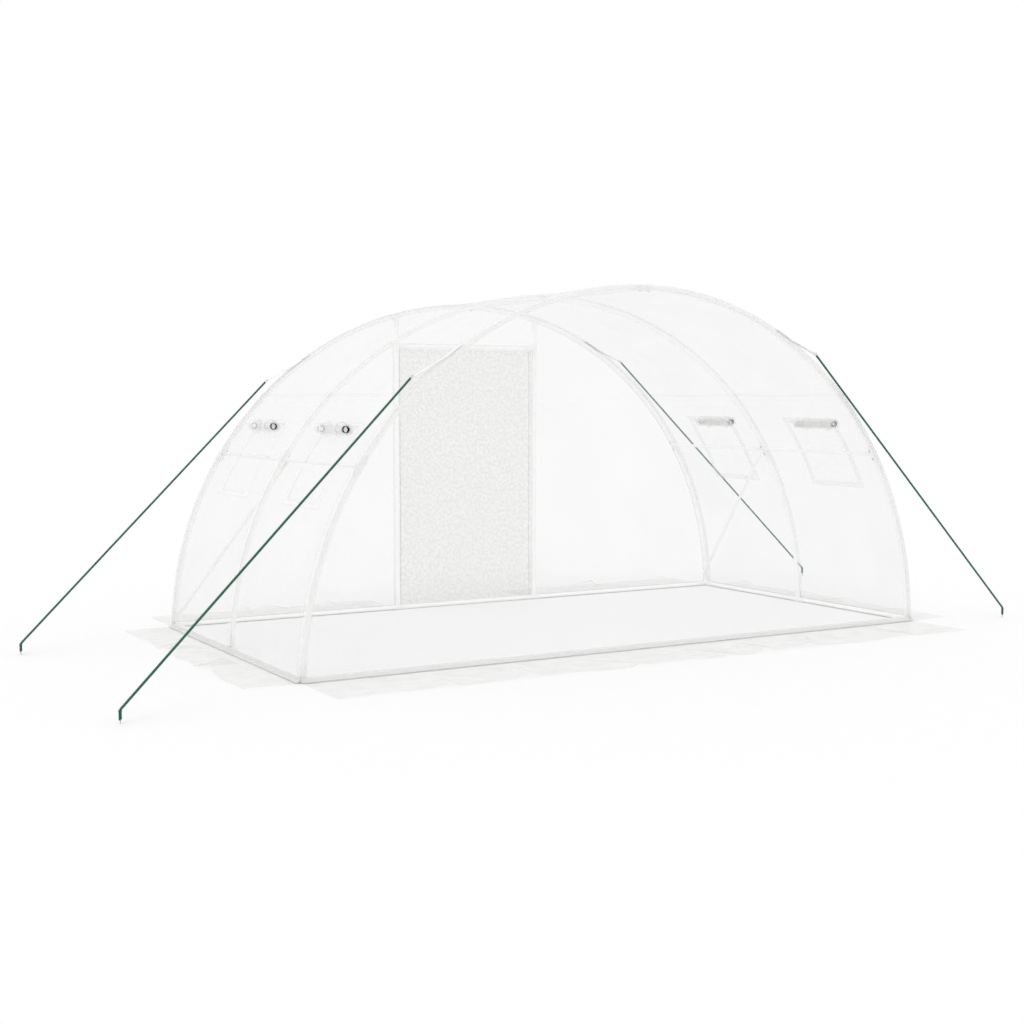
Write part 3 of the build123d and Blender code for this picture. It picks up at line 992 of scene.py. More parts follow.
@dataclass
class Windows:
    """The four side windows: where they are, their nets, hems and rolled-up flaps."""

    outline: Outline
    finishes: Finishes
    hem_width: float = 0.032
    hem_lift: float = 0.0012
    hem_step: float = 0.02
    net_step: float = 0.03
    net_film: float = 0.0006
    net_sag: float = 0.006
    roll_turns: float = 2.25
    roll_outer: float = 0.037
    roll_drop: float = 0.043
    roll_flats: int = 12
    roll_bore: float = 0.0185
    film_thickness: float = 0.0016
    # The rolled film is loosely packed, so it is drawn thick enough for its turns to fill the roll
    roll_film: float = 0.005
    roll_ripple: float = 0.0006
    lining_thickness: float = 0.0015
    lining_depth: float = 0.025
    tie_width: float = 0.012
    tie_inset: float = 0.075

    def __post_init__(self) -> None:
        """Reads the windows' edges and the rolls' place off the CAD frame."""
        low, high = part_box("window_nets_right")
        bay = self.outline.hoop_ys[1] - self.outline.hoop_ys[0]
        self.half_width = (high.y - low.y - bay) / 2
        self.middles = (low.y + self.half_width, high.y - self.half_width)
        self.low_angle = self.outline.angle_at(low.z)
        self.high_angle = self.outline.angle_at(high.z)
        roll_low, roll_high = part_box("window_rolls_right")
        self.roll_half = (roll_high.y - roll_low.y - bay) / 2
        angle = self.high_angle - self.roll_drop / self.outline.radius
        reach = self.outline.radius + self.roll_outer / math.cos(math.pi / self.roll_flats)
        self.roll_x, self.roll_z = reach * math.cos(angle), self.outline.centre_z + reach * math.sin(angle)

    def angles(self, side: Side) -> tuple[float, float]:
        """The lower and upper angle of a side's windows, from low to high."""
        if side is Side.RIGHT:
            return self.low_angle, self.high_angle
        return math.pi - self.high_angle, math.pi - self.low_angle

    def edges_along(self) -> list[float]:
        """The windows' edges along the ridge, from near to far."""
        return [y + way * self.half_width for y in self.middles for way in (-1, 1)]

    def inside(self, angle: np.ndarray, y: np.ndarray) -> np.ndarray:
        """Whether points of the cover lie in a window."""
        up = np.minimum(angle, math.pi - angle)
        across = np.min([np.abs(y - middle) for middle in self.middles], axis=0)
        return (up > self.low_angle) & (up < self.high_angle) & (across < self.half_width)

    def build_nets(self) -> None:
        """Makes each window's net: a patch of the cylinder that sags by a sine both ways."""
        width = 2 * self.half_width
        for side in Side:
            low, high = self.angles(side)
            nets = []
            for name, middle in zip(("near", "far"), self.middles):
                angle = stations([low, high], self.net_step / self.outline.radius)[:, None]
                y = stations([middle - self.half_width, middle + self.half_width], self.net_step)[None]
                up = (angle - low) / (high - low)
                along = (y - middle) / width + 0.5
                sag = -self.net_sag * np.sin(math.pi * up) * np.sin(math.pi * along)
                points = self.outline.place(angle, sag - self.film_thickness, y)
                uv = stacked(y, angle * self.outline.radius)
                place = f"{side.label}_{name}"
                net = make_piece(f"window_net_{place}", grid(points, uv), self.finishes.window_net)
                thicken(net, self.net_film)
                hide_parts(f"window_nets_{side.label}")
                nets.append(net)

    def build_hems(self) -> list[bpy.types.Object]:
        """Makes the taped frame round each window, one piece a side.

        Returns:
            The two pieces.
        """
        pieces = []
        for side in Side:
            low, high = self.angles(side)
            rim = self.hem_width / self.outline.radius
            frames = []
            for middle in self.middles:
                angle = stations([low - rim, low, high, high + rim], self.hem_step / self.outline.radius)
                half, reach = self.half_width, self.half_width + self.hem_width
                y = stations([middle - reach, middle - half, middle + half, middle + reach], self.hem_step)
                points = self.outline.place(angle[:, None], self.hem_lift, y[None])
                uv = stacked(y[None], angle[:, None] * self.outline.radius)
                angle_mid = (angle[:-1] + angle[1:]) / 2
                y_mid = (y[:-1] + y[1:]) / 2
                frames.append(grid(points, uv, keep=~self.inside(angle_mid[:, None], y_mid[None])))
            hem = make_piece(f"window_hems_{side.label}", joined(frames), self.finishes.hem)
            thicken(hem, self.film_thickness)
            pieces.append(hem)
        return pieces

    def roll_spiral(self, side: Side, bore: float) -> np.ndarray:
        """The rolled flap's section: a spiral whose radius grows evenly with the turn, then a tail.

        The tail runs up over the cover to the window's top hem.

        Args:
            side: The side of the tunnel.
            bore: The radius of the open middle.

        Returns:
            Points of shape (n, 2), in X and Z.
        """
        out_angle = math.atan2(self.roll_z - self.outline.centre_z, self.roll_x)
        end_turn = out_angle + math.pi
        turn = np.linspace(end_turn - TURN * self.roll_turns, end_turn, round(34 * self.roll_turns))
        radius = np.linspace(bore + self.roll_film / 2, self.roll_outer - self.roll_film / 2, len(turn))
        wobble = 1 + 0.02 * np.sin(2 * turn + 0.7)
        around = np.stack([np.cos(turn), np.sin(turn)], -1)
        spiral = np.array([self.roll_x, self.roll_z]) + (radius * wobble)[:, None] * around
        up = np.linspace(out_angle + 0.003, self.high_angle + 0.004, 8)
        reach = self.outline.radius + np.linspace(0.0048, 0.0044, len(up))
        tail = np.stack([reach * np.cos(up), self.outline.centre_z + reach * np.sin(up)], -1)
        section = np.concatenate([spiral, tail])
        return section * np.array([side.value, 1.0])

    def build_rolls(self) -> None:
        """Makes each rolled flap with its near-black bore sleeves and its two ties."""
        for side in Side:
            section = self.roll_spiral(side, self.roll_bore)
            for name, middle in zip(("near", "far"), self.middles):
                place = f"{side.label}_{name}"
                y = np.linspace(middle - self.roll_half, middle + self.roll_half, 40)
                flat = np.stack([section[:, 0], np.zeros(len(section)), section[:, 1]], -1)
                run = run_length(flat)
                ripple = Ripples(31 + side.value, 0.05, 0.2, 10).height(run[:, None], y[None])
                outward = unit(flat - np.array([side.value * self.roll_x, 0.0, self.roll_z]))
                points = flat[:, None] + np.array([0.0, 1.0, 0.0]) * y[None, :, None]
                points = points + self.roll_ripple * ripple[..., None] * outward[:, None]
                uv = stacked(y[None], run[:, None])
                roll = make_piece(f"window_flap_{place}", grid(points, uv), self.finishes.roll)
                thicken(roll, self.roll_film)
                # near-black sleeves in both ends of the open middle make the bore read near black
                sleeves = self.lining(side, middle, self.roll_bore)
                lining = make_piece(f"roll_linings_{place}", sleeves, self.finishes.lining)
                turn_outwards(lining)
                bands = [self.tie(side, middle + way * (self.roll_half - self.tie_inset)) for way in (-1, 1)]
                ties = make_piece(f"roll_ties_{place}", joined(bands), self.finishes.webbing)
                thicken(ties, self.film_thickness)
                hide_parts(f"window_rolls_{side.label}")

    def lining(self, side: Side, middle: float, bore: float) -> Surface:
        """A thin sleeve in each end of the roll's open middle: an outer and an inner round wall with rims.

        Args:
            side: The side of the tunnel.
            middle: The roll's middle along the ridge.
            bore: The radius of the open middle.

        Returns:
            Both sleeves as one surface.
        """
        inner, outer = bore - 0.001 - self.lining_thickness, bore - 0.001
        turn = np.linspace(0, TURN, 33)[:-1]
        round_map = np.linspace(0, TURN * bore, 33)[None]
        sleeves = []
        for way in (-1, 1):
            tip = middle + way * (self.roll_half - 0.001)
            low, high = sorted((tip, tip - way * self.lining_depth))
            wall = np.array([[inner, low], [outer, low], [outer, high], [inner, high], [inner, low]])
            x = side.value * self.roll_x + wall[:, :1] * np.cos(turn)[None]
            z = self.roll_z + wall[:, :1] * np.sin(turn)[None]
            points = np.stack([x, np.broadcast_to(wall[:, 1:], x.shape), z], -1)
            sleeves.append(grid(points, stacked(round_map, wall[:, 1:]), wrap=True))
        return joined(sleeves)

    def tie(self, side: Side, y: float) -> Surface:
        """A strap round the roll: an arc just outside it, from the cover above it to the cover below."""
        out_angle = math.atan2(self.roll_z - self.outline.centre_z, self.roll_x)
        turn = np.linspace(out_angle - 2.5, out_angle + 2.5, 40)
        reach = self.roll_outer + 0.0015
        path = np.stack([
            side.value * (self.roll_x + reach * np.cos(turn)),
            np.full_like(turn, y),
            self.roll_z + reach * np.sin(turn),
        ], -1)
        return strip(path, np.array([0.0, 1.0, 0.0]), self.tie_width)


@dataclass
class Cover:
    """The film over both bays, with its window hems, its tapes over the hoops and its seams."""

    outline: Outline
    finishes: Finishes
    windows: Windows
    step: float = 0.024
    film: float = 0.0006
    sag: float = 0.011
    ripple: float = 0.0016
    fold: float = 0.0010
    fold_width: float = 0.010
    purlin_reach: float = 0.10
    ridge_reach: float = 0.12
    window_reach: float = 0.14
    ground_bulge: float = 0.006
    ground_reach: float = 0.16
    flat_foot: float = 0.09
    under: float = 0.001
    hoop_tape: float = 0.046
    tape_film: float = 0.0012
    tape_lift: float = 0.0014
    end_tape_lift: float = 0.0018
    end_tape_out: float = 0.0016
    end_tape_bend: float = 0.006
    end_tape_middle: float = 0.024
    end_tape_turned: tuple[float, float] = (0.016, 0.030)
    seam_width: float = 0.026
    seam_lift: float = 0.0012
    seam_angle: float = math.radians(45.0)

    def build(self) -> None:
        """Makes the sheet, then its tapes and seams."""
        sheet = self.build_sheet()
        parts = [*self.windows.build_hems(), self.build_tapes(), self.build_seams()]
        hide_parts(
            "roof_film",
            "side_film_left_near",
            "side_film_left_far",
            "side_film_right_near",
            "side_film_right_far",
        )

    def slack(self, y: np.ndarray) -> np.ndarray:
        """How free the film is at y: 0 on a hoop and 1 halfway between two."""
        away = np.min([np.abs(y - hoop) for hoop in self.outline.hoop_ys], axis=0)
        bay = self.outline.hoop_ys[1] - self.outline.hoop_ys[0]
        return smooth_step(away / (bay / 2))

    def lift(self, angle: np.ndarray, y: np.ndarray) -> np.ndarray:
        """The film's height over the cylinder.

        It is minus the sag times the slack, less over the purlins, plus ripples that lie along the ridge,
        packing folds, and a bulge above the ground.

        Args:
            angle: Angles about the centre line.
            y: Places along the ridge.

        Returns:
            The lift at each point.
        """
        run = (angle - self.outline.ground_angle) * self.outline.radius
        up = np.minimum(angle, math.pi - angle)
        purlin = Hoops(self.outline, self.finishes).purlin_angle()
        over = hump(up, purlin, self.purlin_reach) + hump(up, math.pi / 2, self.ridge_reach)
        slack = self.slack(y)
        soft = Ripples(7, 0.10, 0.45, 16, heading=math.pi / 2, spread=0.5).height(run, y)
        fine = Ripples(11, 0.05, 0.14, 12).height(run, y)
        window_calm = 1 - 0.7 * hump(up, (self.windows.low_angle + self.windows.high_angle) / 2, self.window_reach)
        folds = fold_ridge(run, 0.415, 0.21, self.fold_width) + fold_ridge(y, 0.50, 0.27, self.fold_width)
        climb = (up - self.outline.ground_angle) * self.outline.radius
        hanging = Ripples(19, 0.12, 0.4, 8, heading=math.pi / 2).height(run, y)
        bulge = np.exp(-climb / self.ground_reach) * (self.ground_bulge + self.ground_bulge * hanging)
        foot = smooth_step(climb / self.flat_foot - 0.4)
        sag = -self.sag * slack * (1 - 0.75 * np.clip(over, 0, 1))
        ripples = slack**0.5 * window_calm * (self.ripple * soft + 0.35 * self.ripple * fine)
        return foot * (sag + ripples + slack**0.5 * self.fold * folds + bulge) - self.under

    def build_sheet(self) -> bpy.types.Object:
        """Makes the film: the cylinder's grid with its lift, less the faces inside the windows.

        Returns:
            The sheet.
        """
        low, high = self.windows.angles(Side.RIGHT)
        mirrored = self.windows.angles(Side.LEFT)
        ground = self.outline.ground_angle
        step = self.step / self.outline.radius
        angle = stations([ground, low, high, *mirrored, math.pi - ground], step)
        end = self.outline.gable_y - self.film
        y = stations([-end, *self.windows.edges_along(), end], self.step)
        points = self.outline.place(angle[:, None], self.lift(angle[:, None], y[None]), y[None])
        uv = stacked(y[None], angle[:, None] * self.outline.radius)
        angle_mid, y_mid = (angle[:-1] + angle[1:]) / 2, (y[:-1] + y[1:]) / 2
        keep = ~self.windows.inside(angle_mid[:, None], y_mid[None])
        sheet = make_piece("tunnel_cover", grid(points, uv, keep=keep), self.finishes.cover)
        thicken(sheet, self.film)
        return sheet

    def build_tapes(self) -> bpy.types.Object:
        """Makes the tapes over the hoops, of which the end ones turn round the corner onto the gables.

        A tape is a section of lift and y, carried along the arc.

        Returns:
            The tapes as one piece.
        """
        middle = self.outline.hoop_ys[1]
        ground = self.outline.ground_angle
        angle = stations([ground, math.pi - ground], 0.03 / self.outline.radius)
        half = self.hoop_tape / 2
        flat = np.linspace(-half, half, 5)
        sections = [np.stack([np.full_like(flat, self.tape_lift), middle + flat], -1)]
        corner = np.linspace(0, math.pi / 2, 6)
        top, bend = self.end_tape_lift, self.end_tape_bend
        out = self.outline.gable_y + self.end_tape_out
        turned = [-depth for depth in self.end_tape_turned]
        lift = np.concatenate([[top, top], top - bend + bend * np.cos(corner), turned])
        before = [out - self.hoop_tape, out - self.end_tape_middle]
        along = np.concatenate([before, out - bend + bend * np.sin(corner), [out, out]])
        sections += [np.stack([lift, way * along], -1) for way in (-1, 1)]
        tapes = []
        for section in sections:
            points = self.outline.place(angle[:, None], section[None, :, 0], section[None, :, 1])
            across = run_length(section)
            uv = stacked(across[None], angle[:, None] * self.outline.radius)
            tapes.append(grid(points, uv))
        piece = make_piece("hoop_tapes", joined(tapes), self.finishes.hem)
        thicken(piece, self.tape_film)
        return piece

    def build_seams(self) -> bpy.types.Object:
        """Makes the doubled seams where the roof meets the sides, as strips along the ridge.

        Returns:
            The seams as one piece.
        """
        y = stations([-self.outline.gable_y, *self.outline.hoop_ys, self.outline.gable_y], 0.025)
        half = self.seam_width / 2 / self.outline.radius
        seams = []
        for middle in (self.seam_angle, math.pi - self.seam_angle):
            angle = np.linspace(middle - half, middle + half, 4)[:, None]
            lift = self.lift(angle, y[None]) + self.seam_lift
            points = self.outline.place(angle, lift, y[None])
            uv = stacked(y[None], angle * self.outline.radius)
            seams.append(grid(points, uv))
        piece = make_piece("roof_seams", joined(seams), self.finishes.seam)
        thicken(piece, self.film)
        return piece


@dataclass
class Gables:
    """The end sheets, with pleats along the arc, and the zipped net in the far doorway."""

    outline: Outline
    finishes: Finishes
    step: float = 0.026
    film: float = 0.0006
    ripple: float = 0.0022
    pleat: float = 0.0030
    pleat_reach: float = 0.035
    fold: float = 0.0015
    fold_width: float = 0.012
    puff: float = 0.004
    calm_rim: float = 0.08
    flat_foot: float = 0.09
    rim_gap: float = 0.0015
    inset: float = 0.0022
    door_ease: float = 0.25
    door_hem: float = 0.034
    hem_film: float = 0.0014
    net_gap: float = 0.002
    net_film: float = 0.0006
    zip_width: float = 0.016
    tooth_pitch: float = 0.012

    def __post_init__(self) -> None:
        """Reads the doorway off the CAD frame."""
        low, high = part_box("door_screen")
        self.door_half, self.door_top = high.x, high.z

    def build(self) -> None:
        """Makes both sheets, the door's net and its hems."""
        area = self.segment_area()
        near = self.build_sheet("gable_sheet_near", -1, False)
        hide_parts("gable_film_near")
        far = self.build_sheet("gable_sheet_far", 1, True)
        doorway = 2 * self.door_half * self.door_top
        hems = self.build_door_hems()
        area -= doorway
        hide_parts("gable_film_far_left", "gable_film_far_right", "gable_film_over_door")
        self.build_door()

    def segment_area(self) -> float:
        """The area under the arc: half the radius squared times (turn less its sine)."""
        opening = math.pi - 2 * self.outline.ground_angle
        return self.outline.radius**2 / 2 * (opening - math.sin(opening))

    def bulge(self, x: np.ndarray, z: np.ndarray, seed: int) -> np.ndarray:
        """How far the sheet stands off its plane: ripples inside, and pleats that fade away from the arc.

        Args:
            x: Places across the span.
            z: Heights.
            seed: The seed of the ripples.

        Returns:
            The distance off the plane, never inwards.
        """
        reach = np.hypot(x, z - self.outline.centre_z)
        turn = np.arctan2(z - self.outline.centre_z, x)
        rim = (self.outline.radius - reach) / self.outline.radius
        inside = smooth_step(rim / self.calm_rim) * smooth_step(z / self.flat_foot - 0.4)
        gathers = Ripples(seed + 1, 0.03, 0.09, 12, heading=0.0).height(turn * 0.9, rim)
        pleats = np.exp(-rim / self.pleat_reach) * (0.5 + 0.5 * gathers)
        ripples = Ripples(seed, 0.18, 0.8, 14).height(x, z)
        folds = fold_ridge(x, 0.50, 0.25, self.fold_width) + fold_ridge(z, 0.41, 0.2, self.fold_width)
        free = inside * (self.puff + self.ripple * ripples + self.fold * folds)
        return np.maximum(free + self.pleat * pleats * smooth_step(rim / 0.01), 0.0)

    def build_sheet(self, name: str, way: int, doorway: bool) -> bpy.types.Object:
        """Makes an end sheet: upright columns in x, each as high as the arc there, off the plane by the bulge.

        Args:
            name: The piece's name.
            way: The sign of the sheet's Y.
            doorway: Whether the doorway is cut out.

        Returns:
            The sheet.
        """
        edge = self.outline.half_span - self.rim_gap
        across = stations([-1.0, 0.0, 1.0], self.step / edge)
        x = edge * np.sin(across * math.pi / 2)
        x = np.unique(np.concatenate([x, [-self.door_half, self.door_half]]))
        crowded = np.diff(x, prepend=x[0] - 1) < self.step * 0.2
        held = np.isclose(np.abs(x), self.door_half)
        x = x[~crowded | held]
        top = self.outline.roof_height(x) - self.rim_gap
        share = self.door_top / self.outline.height
        lower = np.linspace(0, 1, round(self.door_top / self.step))
        upper = np.linspace(0, 1, 14)[1:]
        split = np.where(np.abs(x) <= self.door_half + 1e-6, self.door_top, top * share)
        above = split[None] + upper[:, None] * (top - split)[None]
        rows = np.concatenate([lower[:, None] * split[None], above])
        columns = np.broadcast_to(x[None], rows.shape)
        off = self.bulge(columns, rows, 41 + way)
        if doorway:
            from_door = np.maximum(np.abs(columns) - self.door_half, rows - self.door_top)
            off = off * np.clip(smooth_step(from_door / self.door_ease), 0.05, 1.0)
        y = way * (self.outline.gable_y - self.inset + off)
        points = np.stack([columns, y, rows], -1)
        uv = np.stack([columns, rows], -1)
        keep = None
        if doorway:
            x_mid = (x[:-1] + x[1:]) / 2
            in_door = np.abs(x_mid)[None] < self.door_half
            under = (np.arange(len(rows) - 1) < len(lower) - 1)[:, None]
            keep = ~(in_door & under)
        sheet = make_piece(name, grid(points, uv, keep=keep), self.finishes.gable)
        thicken(sheet, self.film)
        return sheet

    def build_door_hems(self) -> bpy.types.Object:
        """Makes the tape beside and over the doorway, as a frame of three strips in the gable's plane.

        Returns:
            The hems as one piece.
        """
        width = self.door_hem
        x = stations([-self.door_half - width, -self.door_half, self.door_half, self.door_half + width], 0.03)
        z = stations([0.002, self.door_top, self.door_top + width], 0.03)
        y = self.outline.gable_y - 0.0004
        points = stacked(x[None], y, z[:, None])
        uv = stacked(x[None], z[:, None])
        x_mid, z_mid = (x[:-1] + x[1:]) / 2, (z[:-1] + z[1:]) / 2
        keep = ~((np.abs(x_mid)[None] < self.door_half) & (z_mid[:, None] < self.door_top))
        piece = make_piece("door_hems", grid(points, uv, keep=keep), self.finishes.hem)
        thicken(piece, self.hem_film)
        return piece

    def build_door(self) -> None:
        """Makes the door's net with soft ripples, and its zips with a row of teeth each."""
        half, top = self.door_half - self.net_gap, self.door_top - self.net_gap
        x = stations([-half, half], 0.03)[None]
        z = stations([self.net_gap, top], 0.03)[:, None]
        edge = smooth_step((half - np.abs(x)) / 0.12) * smooth_step((top - z) / 0.12)
        ripple = Ripples(57, 0.2, 0.9, 12, heading=0.0, spread=0.5).height(*np.broadcast_arrays(x, z))
        y = self.outline.gable_y - 0.0020 + 0.004 * edge * (0.6 + ripple)
        points = stacked(x, y, z)
        uv = stacked(x, z)
        net = make_piece("doorway_net", grid(points, uv), self.finishes.door_net)
        thicken(net, self.net_film)
        zips = [self.zip_line(way * (half - self.zip_width)) for way in (-1, 1)]
        tapes = make_piece("door_zips", joined(zips), self.finishes.zip_tape)
        turn_outwards(tapes)
        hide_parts("door_screen")

    def zip_line(self, x: float) -> Surface:
        """A zip: a rounded bead up the door whose radius rises and falls with each tooth."""
        z = np.linspace(0.004, self.door_top - 0.006, round(self.door_top / self.tooth_pitch * 4))
        radius = 0.0026 + 0.0007 * np.sin(TURN * z / self.tooth_pitch)
        y = np.full_like(z, self.outline.gable_y + 0.004)
        return round_bar(np.stack([np.full_like(z, x), y, z], -1), radius, 6, (0, 1, 0))


@dataclass
class GroundFlaps:
    """The flaps that lie round the foot of the cover, smooth but for a few folds that lift off the ground."""

    outline: Outline
    finishes: Finishes
    step: float = 0.02
    film: float = 0.0007
    fold_spacing: float = 0.55
    fold_height: float = 0.034
    fold_width: float = 0.026
    take_up: float = 0.07
    hem_film: float = 0.001
    hem_up: float = 0.030
    hem_out: float = 0.022
    hem_bend: float = 0.010
    hem_gap: float = 0.0024
    root_gap: float = 0.0006
    root_rise: float = 0.006
    root_bend: float = 0.012
    lie: float = 0.0015
    least_height: float = 0.001
    wave: float = 0.005

    def build(self) -> None:
        """Makes the five flaps, each with its hem."""
        span, gable = self.outline.half_span, self.outline.gable_y
        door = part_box("door_screen")[1].x
        self.flap("near", "ground_flap_near", (-span, span), -gable, (0, -1), 61)
        self.flap("left", "ground_flap_left", (-gable, gable), -span, (-1, 0), 67)
        self.flap("right", "ground_flap_right", (-gable, gable), span, (1, 0), 71)
        self.flap("far_left", "ground_flaps_far", (-span, -door), gable, (0, 1), 73)
        self.flap("far_right", "ground_flaps_far", (door, span), gable, (0, 1), 79)

    def hem(self, ends: tuple[float, float], root: float, axis: int) -> Surface:
        """The welded hem where a flap meets the wall: up the wall, round a small bend and out on the flap.

        Args:
            ends: Where it starts and ends along its root.
            root: Where the root is on the other axis.
            axis: The axis that the root runs along.

        Returns:
            The hem's surface.
        """
        along = stations([ends[0], ends[1]], 0.03)[:, None]
        bend = np.linspace(0, math.pi / 2, 5)
        up = np.concatenate([[self.hem_up], self.hem_bend * (1 - np.sin(bend)) + 0.0075, [0.0060]])
        out = np.concatenate([[0.0], self.hem_bend * (1 - np.cos(bend)), [self.hem_out]])
        points = np.zeros((len(along), len(up), 3))
        points[..., axis] = along
        points[..., 1 - axis] = root + math.copysign(1.0, root) * (self.hem_gap + out)
        points[..., 2] = up
        uv = stacked(along, run_length(np.stack([out, up], -1))[None])
        return grid(points, uv)

    def flap(
        self,
        name: str,
        node: str,
        ends: tuple[float, float],
        root: float,
        way: tuple[int, int],
        seed: int,
    ) -> None:
        """Makes one flap: a strip on the ground whose height is folds that grow towards the outer edge.

        Args:
            name: The flap's name.
            node: The CAD node that it stands for.
            ends: Where it starts and ends along its root.
            root: Where the root is on the other axis.
            way: The direction from the root to the outer edge.
            seed: The seed of its folds.
        """
        low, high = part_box(node)
        width = max(abs(corner[0] * way[0] + corner[1] * way[1]) for corner in (low, high)) - abs(root)
        along = stations([ends[0], ends[1]], self.step)[:, None]
        out = stations([0.0, width], self.step)[None]
        share = out / width
        edge = 0.97 + 0.03 * Ripples(seed, 0.20, 0.8, 8, heading=0.0, spread=0.1).height(along, out * 0)
        waves = Ripples(seed + 1, 0.30, 0.90, 10, heading=0.0, spread=0.45).height(along, out)
        height = self.lie + smooth_step(share) * (self.wave + self.wave * waves)
        rise = self.root_rise * np.exp(-out / self.root_bend)
        folds = self.folds(along, out, share, ends, seed)
        z = np.maximum(height + folds + rise, self.least_height)
        reach = abs(root) + self.root_gap + out * (edge - self.take_up * folds / self.fold_height)
        points = np.zeros((*z.shape, 3))
        axis = 1 if way[0] == 0 else 0
        points[..., 1 - axis] = np.broadcast_to(along, z.shape)
        points[..., axis] = (way[0] + way[1]) * reach
        points[..., 2] = z
        uv = stacked(along, out)
        piece = make_piece(f"skirt_{name}", grid(points, uv), self.finishes.flap)
        thicken(piece, self.film)
        bent = self.hem(ends, root, 1 - axis)
        hem = make_piece(f"ground_hem_{name}", bent, self.finishes.ground_hem)
        thicken(hem, self.hem_film)
        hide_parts(node)

    def folds(
        self,
        along: np.ndarray,
        out: np.ndarray,
        share: np.ndarray,
        ends: tuple[float, float],
        seed: int,
    ) -> np.ndarray:
        """Raised folds that fan out from the root: for each, a height times e to the minus squared distance.

        The distance is taken from the fold's slanting line, and is stretched on one side, so a fold has a
        steep face and a long one. The height grows with the share of the way to the outer edge.

        Args:
            along: Places along the root, as a column.
            out: Distances from the root, as a row.
            share: The same distances over the flap's width.
            ends: Where the flap starts and ends.
            seed: The seed of the folds.

        Returns:
            The height that the folds add.
        """
        draw = np.random.default_rng(seed + 5)
        count = max(2, round((ends[1] - ends[0]) / self.fold_spacing))
        start = np.linspace(ends[0], ends[1], count + 2)[1:-1] + draw.uniform(-0.16, 0.16, count)
        slant = draw.uniform(-0.9, 0.9, count)
        size = self.fold_height * draw.uniform(0.35, 1.0, count)
        away = along[..., None] - start - slant * out[..., None]
        width = self.fold_width * np.where(away > 0, 1.0, 2.6)
        ridges = size * np.exp(-((away / width) ** 2))
        return smooth_step(share * 1.4 - 0.15) * ridges.sum(-1)


